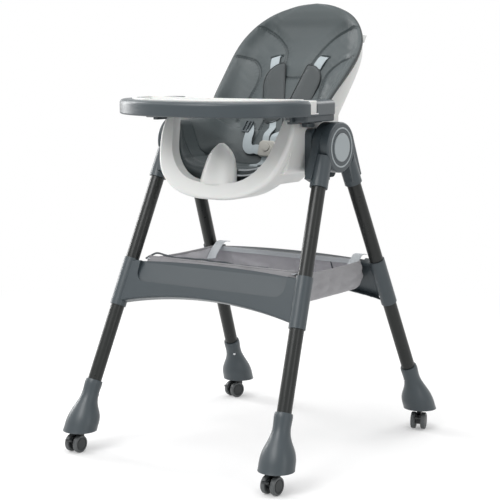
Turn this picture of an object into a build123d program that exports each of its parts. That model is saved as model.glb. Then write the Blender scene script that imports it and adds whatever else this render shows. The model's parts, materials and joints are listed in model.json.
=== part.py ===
from build123d import *
import math
import os

# Overall frame, millimetres: floor at z = 0, the chair faces -Y, origin midway between the feet.
FOOT_X = 272.5
FOOT_Y = 318.6
FOOT_Z = 45
LEG_TOP_X = 217
HUB_Y = -8
HUB_Z = 700
LEG_HUB_OFFSET = 37.5

# Leg tubes and the plastic that grips them.
TUBE_R = 16
TUBE_WALL = 1.5
TUBE_LOW_Z = 74
TUBE_HIGH_Z = 650
SLEEVE_R = 18.6
SLEEVE_LOW_Z = 325
SLEEVE_HIGH_Z = 430
SOCKET_R = 20
SOCKET_LOW_Z = 615.5

# Boots at the lower ends: height, radius across, radius fore and aft, share of the leg lean, shift inward.
BOOT_BASE_Z = 48
BOOT_SECTIONS = (
    (159, 18.9, 18.9, 1.0, 0),
    (130, 19.4, 19.4, 1.0, 0),
    (108, 24.5, 24.0, 0.8, 1),
    (88, 34.0, 32.5, 0.4, 2),
    (66, 39.2, 37.6, 0.1, 3),
    (BOOT_BASE_Z, 40.0, 38.5, 0.0, 3.5),
)
SNAP_R = 3.4
SNAP_PROUD = 1.2
BOOT_SNAP_Z = 130

# Crossbars.
BAR_DEPTH = 26
BAR_WALL = 3.5
BAR_TOP_Z = 424
BAR_LOW_Z = 331
BAR_ARCH = 30
BAR_CROWN = 10
BAR_EDGE_R = 4
SCOOP_DEPTH = 10
SCOOP_STEP = 2.5
SCOOP_LOW_Z = 381
SCOOP_INSET = 36
BAR_RIBS = (-120, -40, 40, 120)
RIB_T = 2.5

# Fold hubs.
HUB_R = 56
HUB_IN_X = 193
HUB_SPLIT_X = 215
HUB_OUT_X = 238
HUB_GAP = 0.4
HUB_EDGE_R = 4
ARM_IN_X = 197
ARM_OUT_X = 236
AXLE_R = 6
RUN_FIT = 0.05
AXLE_HEAD_R = 11
AXLE_HEAD_T = 3.2
BUTTON_R = 31.5
BUTTON_SIDE_GAP = 0.5
BUTTON_POCKET_T = 13.5
BUTTON_PROUD = 2.2
BUTTON_WALL = 2.6
BUTTON_SKIRT = 5
RING_IN_R = 41
RING_OUT_R = 44.5
RING_DEPTH = 2
RING_PROUD = 0.8
SPRING_R = 18
SPRING_WIRE_R = 0.9
SPRING_TURNS = 3

# Seat shell: a tub with a rolled front ring; the ring lies in a leaning plane.
SEAT_HALF = 176
SEAT_WALL = 4.5
SEAT_LOW_Z = 643
SEAT_TOP_Z = 766.5
HORN_TOP_Z = 784
SEAT_REAR_Y = 78
RING_PLANE_Y = -159
RING_PLANE_Z = 640
RING_SLOPE = 0.41
RING_BAND_T = 26
RING_TOP_Z = 765
RING_OUTER = (
    (180, 731), (176, 696), (167, 662), (153.5, 636), (131, 615), (100, 598), (63, 588), (33, 584.5),
)
RING_OUTER_LOW = 584
RING_INNER = ((149, 748), (143, 723), (130, 680), (116, 660), (97, 642), (75, 630), (40, 622))
RING_INNER_LOW = 620
RING_INNER_TOP = 153
BOWL_TOP = (133, -150, 72)
BOWL_BASE = (106, -140, 48)
BOWL_BASE_Z = 615
BOWL_CORNER = 32
BOWL_CUT_Y = -116
POST_SECTIONS = (
    (617, -146, 52, 25),
    (635, -140.5, 46, 23.5),
    (651, -136.5, 42.5, 22),
    (667, -133.5, 38, 20),
    (682, -131.5, 31.5, 17),
    (694, -130, 22, 12.5),
    (702, -129.7, 13, 8),
    (707, -129.5, 5, 3.5),
)
SKIRT_DEPTH = 66
SKIRT_WALL = 4
SEAT_PAD_TOP_Z = 648
SEAT_PAD_REAR_Y = 34
BOLSTER_TOP_Z = 752
BOLSTER_REAR_Y = -22
TROUGH = ((150, 744), (136, 700), (126, 680), (112, 664), (88, 654), (56, 649.5), (28, 648.4))
TROUGH_TOP = (156, 790)
SEAT_SEAMS = (-104, -60)
RAIL_OUT_X = 184
RAIL_LOW_Z = 760.5
RAIL_FRONT_Y = -112
RAIL_REAR_Y = 30
BRACKET_Y = (-62, 42)
BRACKET_Z = (630, 742)
BRACKET_CORNER = 14

# Backrest, drawn in its own leaning plane: x across, v up the back, w out of the back.
BACK_AT_Y = 40
BACK_AT_Z = 660
BACK_LEAN = 33
PIVOT_Y = 62
PIVOT_Z = 668
BACK_OUTLINE = (
    (60, 8), (112, 10), (138, 21), (148, 48), (156, 85), (163, 132), (169, 185), (175, 259),
    (170, 302), (157, 331), (134, 361), (105, 386), (69, 406), (31, 420),
)
BACK_LOW_V = 8
BACK_TOP_V = 427
BACK_HALF = 175
BACK_MID_V = 215
BACK_EDGE = (
    (-40, 70), (45, 69), (90, 66), (132, 59), (185, 47), (259, 31), (302, 24), (331, 21.5), (361, 20),
    (405, 17), (470, 14),
)
SHELL_INSET = 3
SHELL_DROP = 12
BACK_SHELL_RINGS = ((90, 0), (20, 0), (0, 3), (-10, 9), (-18, 22), (-22, 44))
BACK_WALL = 4.5
PAD_CLEAR = 0.5
# Pad sections up the back: v, half width, rim height, height of the middle, height of the underside.
PAD_SECTIONS = (
    (27, 139, 69.5, 3, -4), (48, 148, 69, 2, -13), (90, 157, 66, 2, -16), (140, 164, 57.5, 2, -16),
    (190, 169.5, 46, 2, -16), (240, 174, 35, 2, -16), (275, 174.5, 28, 4, -16), (302, 170, 24, 6, -16),
    (331, 157, 21.5, 9, -16), (361, 134, 20, 13, -14), (386, 105, 18.2, 17, -8), (404, 72, 17, 17.5, -1),
    (415, 46, 15.5, 16, 6), (423, 20, 13, 13, 6),
)
PAD_LIFT = 2.4
# Across one section, way in from the edge: first with the drop below the rim, then with a share of the rise.
PAD_RIM = ((0.6, 4.6), (3.5, 1.1), (8.5, 0))
PAD_SLOPE = ((14, 0.93), (22, 0.45), (36, 0.15), (64, 0.02))
PAD_SIDE = (0, 0.1, 0.35, 1)
PAD_LIP = (9, 7)
BACK_MOUTH = (120, 46, -11)
SEAM_W = 2.6
SEAM_DEPTH = 3
TULIP_SEAM = ((130, 357), (86, 340), (57, 308), (44, 270), (38, 216))
WING_SEAM = ((164, 278), (126, 254), (98, 222), (82, 186), (74, 146))
STRAP_SLOT_X = 69
STRAP_SLOT_V = 281
STRAP_SLOT = (31, 6)
PIVOT_PIN_R = 6
EAR_R = 14
EAR_X = (124, 163)
LEVER_V = (300, 316)
LEVER_HALF = 42
LEVER_W = (-40, -22)
LEVER_TRAVEL = 6
LEVER_GAP = 0.5

# Tray.
TRAY_LOW_Z = 772
TRAY_TOP_Z = 805
TRAY_HALF = 239
TRAY_DEPTH = 189
TRAY_CENTRE_Y = -140
TRAY_REAR_Y = -9
ARM_REAR_X = 226
ARM_INNER_X = 182
BELLY_SIDE_Y = -60
BELLY_Y = -130
ARM_LOW_Z = 758.5
ARM_FRONT_Y = -128
TRAY_WALL = 5
TRAY_DECK_T = 7
INSERT_INSET = 28
INSERT_REAR_Y = -142
INSERT_RECESS = 8
INSERT_GAP = 0.5
INSERT_REST = 0.3
INSERT_WALL = 2.6
INSERT_RIM = 3
TONGUE_Y = (-135, -106)
TONGUE_T = 3.6
TONGUE_LOW_Z = 779
TONGUE_FACE_X = 230.5
GUIDE_OUT_X = 190.4
GUIDE_LIP_IN_X = 178.5
GUIDE_LOW_Z = 754.5
SLIDE_GAP = 0.6
LATCH_Y = (-84, -56)
LATCH_X = (181.5, 198)
LATCH_NECK = (181.5, 184)
LATCH_T = 8
LATCH_TRAVEL = 4

# Harness.
WEB_W = 24
WEB_T = 1.6
WEB_GAP = 0.4
BUCKLE_SIZE = (44, 15, 38)
BUCKLE_AT = (14, 30, 685)
BUCKLE_TILT = -20
BUCKLE_BUTTON_R = 9
BUCKLE_WELL = 6
CROTCH_PATH = ((-30, 649.4), (-10, 649.8), (8, 651), (19.5, 658), (23.3, 666.9))
SHOULDER_IN = {-1: 60, 1: 30}
SHOULDER_END_V = 100
SHOULDER_PAD_S = (28, 194)
SHOULDER_W = 11.8
SHOULDER_RISE = -0.01
WAIST_SLOT_X = 92
WAIST_SLOT_V = 80

# Basket.
BASKET_TOP_Z = 428
BASKET_LOW_Z = 355
BASKET_T = 1.8
BASKET_FRONT_Y = -142
BASKET_REAR_Y = 133
BASKET_HALF = 215
BASKET_DRAW = 15
BASKET_SPREAD = 28
BASKET_CORNER = 22
FOLD_DEPTH = 3
FOLD_COUNT = 7

# Casters.
WHEEL_R = 20
WHEEL_T = 11
WHEEL_IN = 6.5
TRAIL = 14
STEM_R = 4
STEM_TOP_Z = 67
WEB_HALF = 5
CASTER_AXLE_R = 3
BRAKE_PIN_R = 1.5
BRAKE_AT = (-14, 31)
BRAKE_HALF = 2
CASTER_TURN = {"front_left": 0, "front_right": -2, "rear_left": -18, "rear_right": 18}


def save(shape, name):
    export_step(shape, f"parts/{name}.step")


def group(*shapes):
    solids = []
    for shape in shapes:
        solids.extend(shape.solids())
    return Compound(solids)


def flip(shape):
    return mirror(shape, about=Plane.YZ)


def block(x0, x1, y0, y1, z0, z1):
    return Pos((x0 + x1) / 2, (y0 + y1) / 2, (z0 + z1) / 2) * Box(x1 - x0, y1 - y0, z1 - z0)


def rod(start, end, radius):
    a = Vector(*start)
    b = Vector(*end)
    return Solid.make_cylinder(radius, (b - a).length, Plane(origin=a, z_dir=b - a))


def x_disc(x0, x1, y, z, radius):
    return rod((x0, y, z), (x1, y, z), radius)


def leg_point(front, z):
    t = (z - FOOT_Z) / (HUB_Z - FOOT_Z)
    foot_y = -FOOT_Y if front else FOOT_Y
    top_y = HUB_Y - LEG_HUB_OFFSET if front else HUB_Y + LEG_HUB_OFFSET
    return (FOOT_X + (LEG_TOP_X - FOOT_X) * t, foot_y + (top_y - foot_y) * t, z)


def leg_axis(front):
    return (Vector(*leg_point(front, HUB_Z)) - Vector(*leg_point(front, FOOT_Z))).normalized()


def leg_rod(front, low_z, high_z, radius):
    return rod(leg_point(front, low_z), leg_point(front, high_z), radius)


# The plane both legs of one frame lie in, with its origin at height z and its normal facing out.
def frame_plane(front, z):
    axis = leg_axis(front)
    up = Vector(0, axis.Y, axis.Z).normalized()
    across = Vector(1 if front else -1, 0, 0)
    return Plane(origin=(0, leg_point(front, z)[1], z), x_dir=across, z_dir=across.cross(up))


def frame_rise(front, z, from_z):
    axis = leg_axis(front)
    return (z - from_z) / Vector(0, axis.Y, axis.Z).normalized().Z


def snap_pin(front, z, reach):
    axis = leg_axis(front)
    inward = Vector(-0.62, 0.78 if front else -0.78, 0)
    out = (inward - axis * inward.dot(axis)).normalized()
    base = Vector(*leg_point(front, z))
    pin = rod(base + out * (TUBE_R - 4), base + out * (reach + SNAP_PROUD), SNAP_R)
    return fillet(pin.edges().sort_by(lambda e: (e.center() - base).dot(out))[-1:], 1)


def leg_tube(front):
    tube = leg_rod(front, TUBE_LOW_Z, TUBE_HIGH_Z, TUBE_R)
    tube -= leg_rod(front, TUBE_LOW_Z - 5, TUBE_HIGH_Z + 5, TUBE_R - TUBE_WALL)
    return tube - boot_snap(front) - bar_snap(front)


def boot_snap(front):
    return snap_pin(front, BOOT_SNAP_Z, BOOT_SECTIONS[1][1])


def bar_snap(front):
    return snap_pin(front, SLEEVE_LOW_Z + 22, SLEEVE_R)


def boot_point(front, z, shift):
    x, y, z = leg_point(front, z)
    return (x, y + shift if front else y - shift, z)


def caster_point(front):
    return boot_point(front, BOOT_BASE_Z, BOOT_SECTIONS[-1][-1])


def boot(front):
    axis = leg_axis(front)
    rings = []
    for z, across, along, lean, shift in BOOT_SECTIONS:
        normal = (axis * lean + Vector(0, 0, 1) * (1 - lean)).normalized()
        x_dir = (Vector(1, 0, 0) - normal * normal.X).normalized()
        plane = Plane(origin=boot_point(front, z, shift), x_dir=x_dir, z_dir=normal)
        rings.append(plane * Ellipse(across, along))
    body = loft(rings)
    x, y, z = caster_point(front)
    well = rod((x, y, z - 1), (x, y, z + 7), 32) - rod((x, y, z - 2), (x, y, z + 8), 11)
    body -= well
    body -= leg_rod(front, TUBE_LOW_Z, BOOT_SECTIONS[0][0] + 20, TUBE_R)
    body -= rod((x, y, z - 2), (x, y, STEM_TOP_Z + 0.5), STEM_R + RUN_FIT)
    return body - boot_snap(front)


def bar_outline(front, inset):
    top = frame_rise(front, BAR_TOP_Z, BAR_LOW_Z) - inset
    low = inset
    top_x = leg_point(front, BAR_TOP_Z)[0] - inset
    low_x = leg_point(front, BAR_LOW_Z)[0] - inset
    left = Line((-low_x, low), (-top_x, top))
    crown = ThreePointArc((-top_x, top), (0, top + BAR_CROWN), (top_x, top))
    right = Line((top_x, top), (low_x, low))
    arch = ThreePointArc((low_x, low), (0, low + BAR_ARCH), (-low_x, low))
    return make_face([left.edge(), crown.edge(), right.edge(), arch.edge()])


def crossbar(front):
    plane = frame_plane(front, BAR_LOW_Z)
    panel = extrude(bar_outline(front, 0), BAR_DEPTH / 2, both=True)
    panel = fillet(panel.edges(), BAR_EDGE_R)
    scoop_half = leg_point(front, BAR_TOP_Z)[0] - SCOOP_INSET
    scoop_low = frame_rise(front, SCOOP_LOW_Z, BAR_LOW_Z)
    scoop_face = Pos(0, scoop_low + 50) * RectangleRounded(2 * scoop_half, 100, 24)
    scoop_top = frame_rise(front, BAR_TOP_Z, BAR_LOW_Z)
    face_w = BAR_DEPTH / 2
    slope = Polyline(
        (scoop_low, face_w - SCOOP_STEP), (scoop_top, face_w - SCOOP_DEPTH),
        (scoop_top + 90, face_w - SCOOP_DEPTH), (scoop_top + 90, face_w + 20), (scoop_low, face_w + 20),
        close=True,
    )
    wedge = extrude(Plane.YZ * make_face(slope), scoop_half, both=True)
    panel -= extrude(scoop_face, face_w + 20) & wedge
    pocket_depth = BAR_DEPTH - SCOOP_DEPTH - BAR_WALL
    hollow = extrude(Plane.XY.offset(-BAR_DEPTH / 2 - 1) * bar_outline(front, BAR_WALL + 2), pocket_depth + 1)
    for x in BAR_RIBS:
        hollow -= block(x - RIB_T / 2, x + RIB_T / 2, -20, 150, -BAR_DEPTH, BAR_DEPTH)
    panel -= hollow
    bar = plane * panel
    sleeve = leg_rod(front, SLEEVE_LOW_Z, SLEEVE_HIGH_Z, SLEEVE_R)
    tube = leg_rod(front, SLEEVE_LOW_Z - 20, SLEEVE_HIGH_Z + 20, TUBE_R)
    bar = bar + sleeve + flip(sleeve)
    bar = bar - tube - flip(tube)
    return bar - bar_snap(front) - flip(bar_snap(front))


# Straight arm from the hub to its leg socket, cut from the side view.
def hub_arm(front, x0, x1):
    axis = leg_axis(front)
    down = Vector(0, -axis.Y, -axis.Z).normalized()
    side = Vector(0, -1 if front else 1, 0)
    side = (side - down * side.dot(down)).normalized()
    centre = Vector(0, HUB_Y, HUB_Z)
    end = Vector(*leg_point(front, SOCKET_LOW_Z))
    length = (Vector(0, end.Y, end.Z) - centre).dot(down)
    offset = (Vector(0, end.Y, end.Z) - centre).dot(side)
    corners = []
    low = offset - SOCKET_R
    for along, across in ((0, low), (0, HUB_R), (length - 12, HUB_R), (length - 12, low)):
        corner = centre + down * along + side * across
        corners.append((corner.Y, corner.Z))
    face = make_face(Polyline(*corners, close=True))
    return extrude(Plane.YZ.offset(x0) * face, x1 - x0)


def hub_front():
    drum = x_disc(HUB_IN_X, HUB_SPLIT_X - HUB_GAP / 2, HUB_Y, HUB_Z, HUB_R)
    drum = fillet(drum.edges().group_by(Axis.X)[0], HUB_EDGE_R)
    socket = leg_rod(True, SOCKET_LOW_Z, HUB_Z - 20, SOCKET_R)
    body = drum + hub_arm(True, ARM_IN_X, HUB_SPLIT_X - HUB_GAP / 2) + socket
    body -= x_disc(HUB_SPLIT_X - HUB_GAP / 2, HUB_OUT_X + 40, HUB_Y, HUB_Z, HUB_R + 0.6)
    body -= leg_rod(True, SOCKET_LOW_Z - 20, TUBE_HIGH_Z, TUBE_R)
    return body - x_disc(HUB_IN_X - 5, HUB_OUT_X, HUB_Y, HUB_Z, AXLE_R)


def hub_rear():
    floor_x = HUB_OUT_X - BUTTON_POCKET_T
    drum = x_disc(HUB_SPLIT_X + HUB_GAP / 2, HUB_OUT_X, HUB_Y, HUB_Z, HUB_R)
    drum = fillet(drum.edges().group_by(Axis.X)[-1], HUB_EDGE_R)
    socket = leg_rod(False, SOCKET_LOW_Z, HUB_Z - 20, SOCKET_R)
    body = drum + hub_arm(False, HUB_SPLIT_X + HUB_GAP / 2, ARM_OUT_X) + socket
    body -= x_disc(HUB_IN_X - 40, HUB_SPLIT_X + HUB_GAP / 2, HUB_Y, HUB_Z, HUB_R + 0.6)
    body -= leg_rod(False, SOCKET_LOW_Z - 20, TUBE_HIGH_Z, TUBE_R)
    body -= x_disc(floor_x, HUB_OUT_X + 40, HUB_Y, HUB_Z, BUTTON_R + BUTTON_SIDE_GAP)
    body -= x_disc(HUB_OUT_X, HUB_OUT_X + 40, HUB_Y, HUB_Z, HUB_R)
    body -= ring_blank(HUB_OUT_X - RING_DEPTH, HUB_OUT_X + 5)
    return body - x_disc(HUB_SPLIT_X - 5, HUB_OUT_X, HUB_Y, HUB_Z, AXLE_R + RUN_FIT)


def ring_blank(x0, x1):
    return x_disc(x0, x1, HUB_Y, HUB_Z, RING_OUT_R) - x_disc(x0 - 1, x1 + 1, HUB_Y, HUB_Z, RING_IN_R)


def hub_ring():
    ring = ring_blank(HUB_OUT_X - RING_DEPTH, HUB_OUT_X + RING_PROUD)
    return fillet(ring.edges().group_by(Axis.X)[-1], 0.6)


def hub_axle():
    floor_x = HUB_OUT_X - BUTTON_POCKET_T
    shaft = x_disc(HUB_IN_X, floor_x + RUN_FIT + 0.3 + AXLE_HEAD_T, HUB_Y, HUB_Z, AXLE_R)
    return shaft + x_disc(floor_x + 0.3, floor_x + 0.3 + AXLE_HEAD_T, HUB_Y, HUB_Z, AXLE_HEAD_R)


def hub_button():
    face_x = HUB_OUT_X + BUTTON_PROUD
    cap = x_disc(face_x - BUTTON_WALL - BUTTON_SKIRT, face_x, HUB_Y, HUB_Z, BUTTON_R)
    cap = fillet(cap.edges().group_by(Axis.X)[-1], 1.2)
    return cap - x_disc(0, face_x - BUTTON_WALL, HUB_Y, HUB_Z, BUTTON_R - BUTTON_WALL)


def hub_spring():
    low_x = HUB_OUT_X - BUTTON_POCKET_T + SPRING_WIRE_R
    high_x = HUB_OUT_X + BUTTON_PROUD - BUTTON_WALL - SPRING_WIRE_R
    path = Helix((high_x - low_x) / SPRING_TURNS, high_x - low_x, SPRING_R)
    wire = sweep(Plane(origin=path @ 0, z_dir=path % 0) * Circle(SPRING_WIRE_R), path)
    return Pos(low_x, HUB_Y, HUB_Z) * Rot(0, 90, 0) * wire


def half_profile(points, low, top_x, top_z):
    right = [(top_x, top_z)] + list(points)
    left = [(-x, z) for x, z in reversed(right)]
    curve = Spline(*right, (0, low), *left)
    lid = Line((-top_x, top_z), (top_x, top_z))
    return make_face([curve.edge(), lid.edge()])


def ring_y(z):
    return RING_PLANE_Y + (z - RING_PLANE_Z) * RING_SLOPE


# Slab that lies between two leaning planes a given way behind the ring's front.
def ring_slab(start, end, low_z, high_z, half):
    corners = (
        (ring_y(low_z) + start, low_z), (ring_y(high_z) + start, high_z),
        (ring_y(high_z) + end, high_z), (ring_y(low_z) + end, low_z),
    )
    return extrude(Plane.YZ.offset(-half) * make_face(Polyline(*corners, close=True)), 2 * half)


def seat_ring():
    outline = half_profile(RING_OUTER, RING_OUTER_LOW, 172, RING_TOP_Z)
    prism = extrude(Plane.XZ.offset(60) * outline, 200)
    ring = prism & ring_slab(0, RING_BAND_T, 560, RING_TOP_Z + 30, 300)
    front = ring.faces().sort_by(lambda f: f.center().Y - RING_SLOPE * f.center().Z)[0]
    return fillet(front.edges(), 9)


# Wall below the seat floor that carries the ring's outline back to the bowl.
def ring_skirt():
    points = [(x - SKIRT_WALL, z) for x, z in RING_OUTER]
    inner = half_profile(points, RING_OUTER_LOW + SKIRT_WALL, 172 - SKIRT_WALL, RING_TOP_Z)
    outer = half_profile(RING_OUTER, RING_OUTER_LOW, 172, RING_TOP_Z)
    wall = extrude(Plane.XZ * outer, 200) - extrude(Plane.XZ.offset(-10) * inner, 220)
    return wall & ring_slab(RING_BAND_T - 1, SKIRT_DEPTH, 560, SEAT_LOW_Z + 2, 300)


def leg_hole(grow, high_z):
    points = [(x + grow, z) for x, z in RING_INNER]
    return half_profile(points, RING_INNER_LOW - grow, RING_INNER_TOP + grow, high_z)


def bowl(inset, top_z, base_z):
    rings = []
    for (half, front_y, rear_y), z in ((BOWL_BASE, base_z), (BOWL_TOP, top_z)):
        width = 2 * (half - inset)
        depth = rear_y - front_y - 2 * inset
        face = RectangleRounded(width, depth, BOWL_CORNER - inset)
        rings.append(Pos(0, (front_y + rear_y) / 2, z) * face)
    return loft(rings)


def side_profile(drop):
    front = RING_BAND_T - 4
    return (
        (ring_y(SEAT_LOW_Z) + front, SEAT_LOW_Z), (ring_y(SEAT_TOP_Z) + front, SEAT_TOP_Z + drop),
        (34, SEAT_TOP_Z + drop), (54, HORN_TOP_Z + drop), (SEAT_REAR_Y, HORN_TOP_Z + drop),
        (SEAT_REAR_Y, 700), (80, SEAT_LOW_Z),
    )


def crotch_post(grow):
    rings = []
    for z, y, across, along in POST_SECTIONS:
        rings.append(Pos(0, y, z) * Ellipse(across + grow, along + grow))
    return loft(rings)


def seat_shell():
    side = make_face(Polyline(*side_profile(0), close=True))
    wall = extrude(Plane.YZ.offset(-SEAT_HALF) * side, 2 * SEAT_HALF)
    low_edges = wall.edges().filter_by(Axis.Y).group_by(Axis.Z)[0]
    long_edges = [e for e in low_edges if abs(abs(e.center().X) - SEAT_HALF) < 1]
    wall = fillet(long_edges, 20)
    bulkhead = wall & ring_slab(RING_BAND_T - 4, RING_BAND_T, 560, 900, 300)
    cavity = block(-SEAT_HALF + SEAT_WALL, SEAT_HALF - SEAT_WALL, -260, 200, SEAT_LOW_Z + SEAT_WALL, 900)
    low_edges = cavity.edges().filter_by(Axis.Y).group_by(Axis.Z)[0]
    cavity = fillet(low_edges, 20 - SEAT_WALL)
    wall -= cavity
    tub = wall + bowl(0, SEAT_LOW_Z + 2, BOWL_BASE_Z)
    tub += ring_skirt()
    tub -= bowl(SEAT_WALL, SEAT_LOW_Z + 6, BOWL_BASE_Z + SEAT_WALL)
    hole = extrude(leg_hole(0, 900), 260)
    tub -= Plane.XZ.offset(-BOWL_CUT_Y) * hole
    ring = seat_ring() + bulkhead
    shell = tub + (ring - Plane.XZ.offset(40) * hole)
    shell += crotch_post(0)
    rail = block(SEAT_HALF - 1, RAIL_OUT_X, RAIL_FRONT_Y, RAIL_REAR_Y, RAIL_LOW_Z, SEAT_TOP_Z)
    shell = shell + rail + flip(rail)
    bore = x_disc(-SEAT_HALF - 5, SEAT_HALF + 5, PIVOT_Y, PIVOT_Z, PIVOT_PIN_R + RUN_FIT)
    return shell - bore


def seat_bracket():
    y0, y1 = BRACKET_Y
    z0, z1 = BRACKET_Z
    plate = block(SEAT_HALF, HUB_IN_X, y0, y1, z0, z1)
    return fillet(plate.edges().filter_by(Axis.X), BRACKET_CORNER)


def seat_pad():
    side = SEAT_HALF - SEAT_WALL - PAD_CLEAR
    low = SEAT_LOW_Z + SEAT_WALL + PAD_CLEAR / 2
    bolster = block(-side, side, -300, BOLSTER_REAR_Y, low, BOLSTER_TOP_Z)
    edges = bolster.edges().filter_by(Axis.Y).group_by(Axis.Z)[0]
    bolster = fillet(edges, 20 - SEAT_WALL)
    behind_ring = ring_slab(RING_BAND_T + PAD_CLEAR, 260, 560, 900, 300)
    bolster &= behind_ring
    cushion = bowl(SEAT_WALL + PAD_CLEAR, SEAT_LOW_Z + 6, BOWL_BASE_Z + SEAT_WALL + PAD_CLEAR / 2)
    crown_x = BOWL_TOP[0] - BOWL_CORNER + 8
    crown = block(-crown_x, crown_x, -300, SEAT_PAD_REAR_Y, SEAT_PAD_TOP_Z - 2, SEAT_PAD_TOP_Z + 10)
    pad = bolster + ((cushion + crown) & behind_ring)
    trough = half_profile(TROUGH, SEAT_PAD_TOP_Z, TROUGH_TOP[0], TROUGH_TOP[1])
    pad -= extrude(Plane.XZ.offset(-120) * trough, 420)
    for y in SEAT_SEAMS:
        pad -= Pos(0, 0, -SEAM_DEPTH) * extrude(Plane.XZ.offset(-y) * trough, SEAM_W)
    return pad - crotch_post(1.5)


# Plane of the backrest: local x across, local y up the back, local z out of the back.
def back_plane():
    lean = math.radians(BACK_LEAN)
    out = (0, -math.cos(lean), math.sin(lean))
    return Plane(origin=(0, BACK_AT_Y, BACK_AT_Z), x_dir=(1, 0, 0), z_dir=out)


def back_ring(w, inset):
    points = []
    for x, v in BACK_OUTLINE:
        points.append((x * (1 - inset / BACK_HALF), BACK_MID_V + (v - BACK_MID_V) * (1 - inset / BACK_MID_V)))
    low = BACK_MID_V + (BACK_LOW_V - BACK_MID_V) * (1 - inset / BACK_MID_V)
    top = BACK_MID_V + (BACK_TOP_V - BACK_MID_V) * (1 - inset / BACK_MID_V)
    left = [(-x, v) for x, v in reversed(points)]
    curve = Spline((0, low), *points, (0, top), *left, periodic=True)
    return Plane.XY.offset(w) * make_face(curve)


def back_loft(rings, inset, raise_w):
    return loft([back_ring(w + raise_w, d + inset) for w, d in rings])


# Everything behind the line the backrest rim follows, seen from the side.
def back_behind(drop):
    rim = Spline(*[(v, w - drop) for v, w in BACK_EDGE])
    first = BACK_EDGE[0]
    last = BACK_EDGE[-1]
    rest = Polyline((last[0], last[1] - drop), (last[0], -200), (first[0], -200), (first[0], first[1] - drop))
    return extrude(Plane.YZ.offset(-300) * make_face([rim.edge(), *rest.edges()]), 600)


def back_shell():
    shell = back_loft(BACK_SHELL_RINGS, SHELL_INSET, 0)
    shell -= back_loft(BACK_SHELL_RINGS, SHELL_INSET + BACK_WALL, BACK_WALL)
    shell &= back_behind(SHELL_DROP)
    mouth_x, mouth_v, mouth_w = BACK_MOUTH
    shell -= block(-mouth_x, mouth_x, -20, mouth_v, mouth_w, 120)
    for side in (-1, 1):
        shell -= strap_slot(side)
    half = LEVER_HALF + 8
    housing = block(-half, half, LEVER_V[0] - 14, LEVER_V[1] + 8, LEVER_W[0] - 4, LEVER_W[1])
    housing = fillet(housing.edges().filter_by(Axis.Z), 6)
    room = LEVER_GAP
    housing -= block(
        -LEVER_HALF - room, LEVER_HALF + room, LEVER_V[0] - 40, LEVER_V[1] + room + LEVER_TRAVEL - 6,
        LEVER_W[0] - room, LEVER_W[1] - 3 + room,
    )
    shell += housing
    body = back_plane() * shell
    for side in (-1, 1):
        body += back_ear(side)
    return body


def back_ear(side):
    ear = x_disc(side * EAR_X[0], side * EAR_X[1], PIVOT_Y, PIVOT_Z, EAR_R)
    pin = x_disc(side * EAR_X[0], side * (SEAT_HALF - 0.5), PIVOT_Y, PIVOT_Z, PIVOT_PIN_R)
    return ear + pin


def shoulder_turn(side):
    turn = math.degrees(math.atan2(SHOULDER_IN[side], STRAP_SLOT_V - SHOULDER_END_V))
    return Pos(side * STRAP_SLOT_X, STRAP_SLOT_V, 0) * Rot(0, 0, -side * turn)


def strap_slot(side):
    return shoulder_turn(side) * Box(STRAP_SLOT[0], STRAP_SLOT[1], 120)


def between(table, at):
    for (a, low), (b, high) in zip(table, table[1:]):
        if a <= at <= b:
            return low + (high - low) * (at - a) / (b - a)
    return 0


# Half width of the hollow in the backrest shell, v up the back and w out of it.
def hollow_half(v, w):
    thick = SHELL_INSET + BACK_WALL
    rings = sorted((ring_w + BACK_WALL, inset + thick) for ring_w, inset in BACK_SHELL_RINGS)
    inset = between(rings, w)
    v_out = BACK_MID_V + (v - BACK_MID_V) / (1 - inset / BACK_MID_V)
    outline = [(BACK_LOW_V, 0)] + [(row_v, x) for x, row_v in BACK_OUTLINE] + [(BACK_TOP_V, 0)]
    return between(outline, v_out) * (1 - inset / BACK_HALF)


def pad_ring(v, half, rim, middle, under):
    scale = min(1, half / 150)
    neck = max(rim - SHELL_DROP - 1, under + 1)
    right = []
    for share in PAD_SIDE:
        w = under + (neck - under) * share
        room = hollow_half(v, w) if w < rim - SHELL_DROP else half - PAD_LIP[0]
        right.append((max(room - 5 * PAD_CLEAR, half * 0.4), w))
    right.insert(0, (right[0][0] * 0.6, under))
    right.append((half - 1.2, neck + PAD_LIP[1] * scale))
    for inset, drop in PAD_RIM:
        right.append((half - inset * scale, rim - drop))
    for inset, share in PAD_SLOPE:
        right.append((half - inset * scale, middle + (rim - middle) * share))
    left = [(-x, w) for x, w in reversed(right)]
    curve = Spline((0, under), *right, (0, middle), *left, periodic=True)
    return Plane.XZ.offset(-v) * make_face(curve)


def back_pad():
    pad = Pos(0, 0, PAD_LIFT) * loft([pad_ring(*section) for section in PAD_SECTIONS])
    lower = Pos(0, 0, -SEAM_DEPTH) * pad
    for points in (TULIP_SEAM, WING_SEAM):
        groove = extrude(make_face(trace_wire(points)), 90) - lower
        pad = pad - groove - flip(groove)
    half, v = TULIP_SEAM[-1]
    pad -= block(-half, half, v - SEAM_W / 2, v + SEAM_W / 2, 0, 90) - lower
    for side in (-1, 1):
        pad -= strap_slot(side)
    pad = back_plane() * pad
    for side in (-1, 1):
        pad -= x_disc(side * (EAR_X[0] - PAD_CLEAR), side * 200, PIVOT_Y, PIVOT_Z, EAR_R + PAD_CLEAR)
    return pad


# Closed outline of a thin band that follows a curve through the given points.
def trace_wire(points):
    curve = Spline(*points)
    near = []
    far = []
    for k in range(8):
        spot = curve @ (k / 7)
        run = curve % (k / 7)
        side = Vector(-run.Y, run.X, 0) * (SEAM_W / 2)
        near.append(spot + side)
        far.append(spot - side)
    return Polyline(*near, *reversed(far), close=True)


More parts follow.
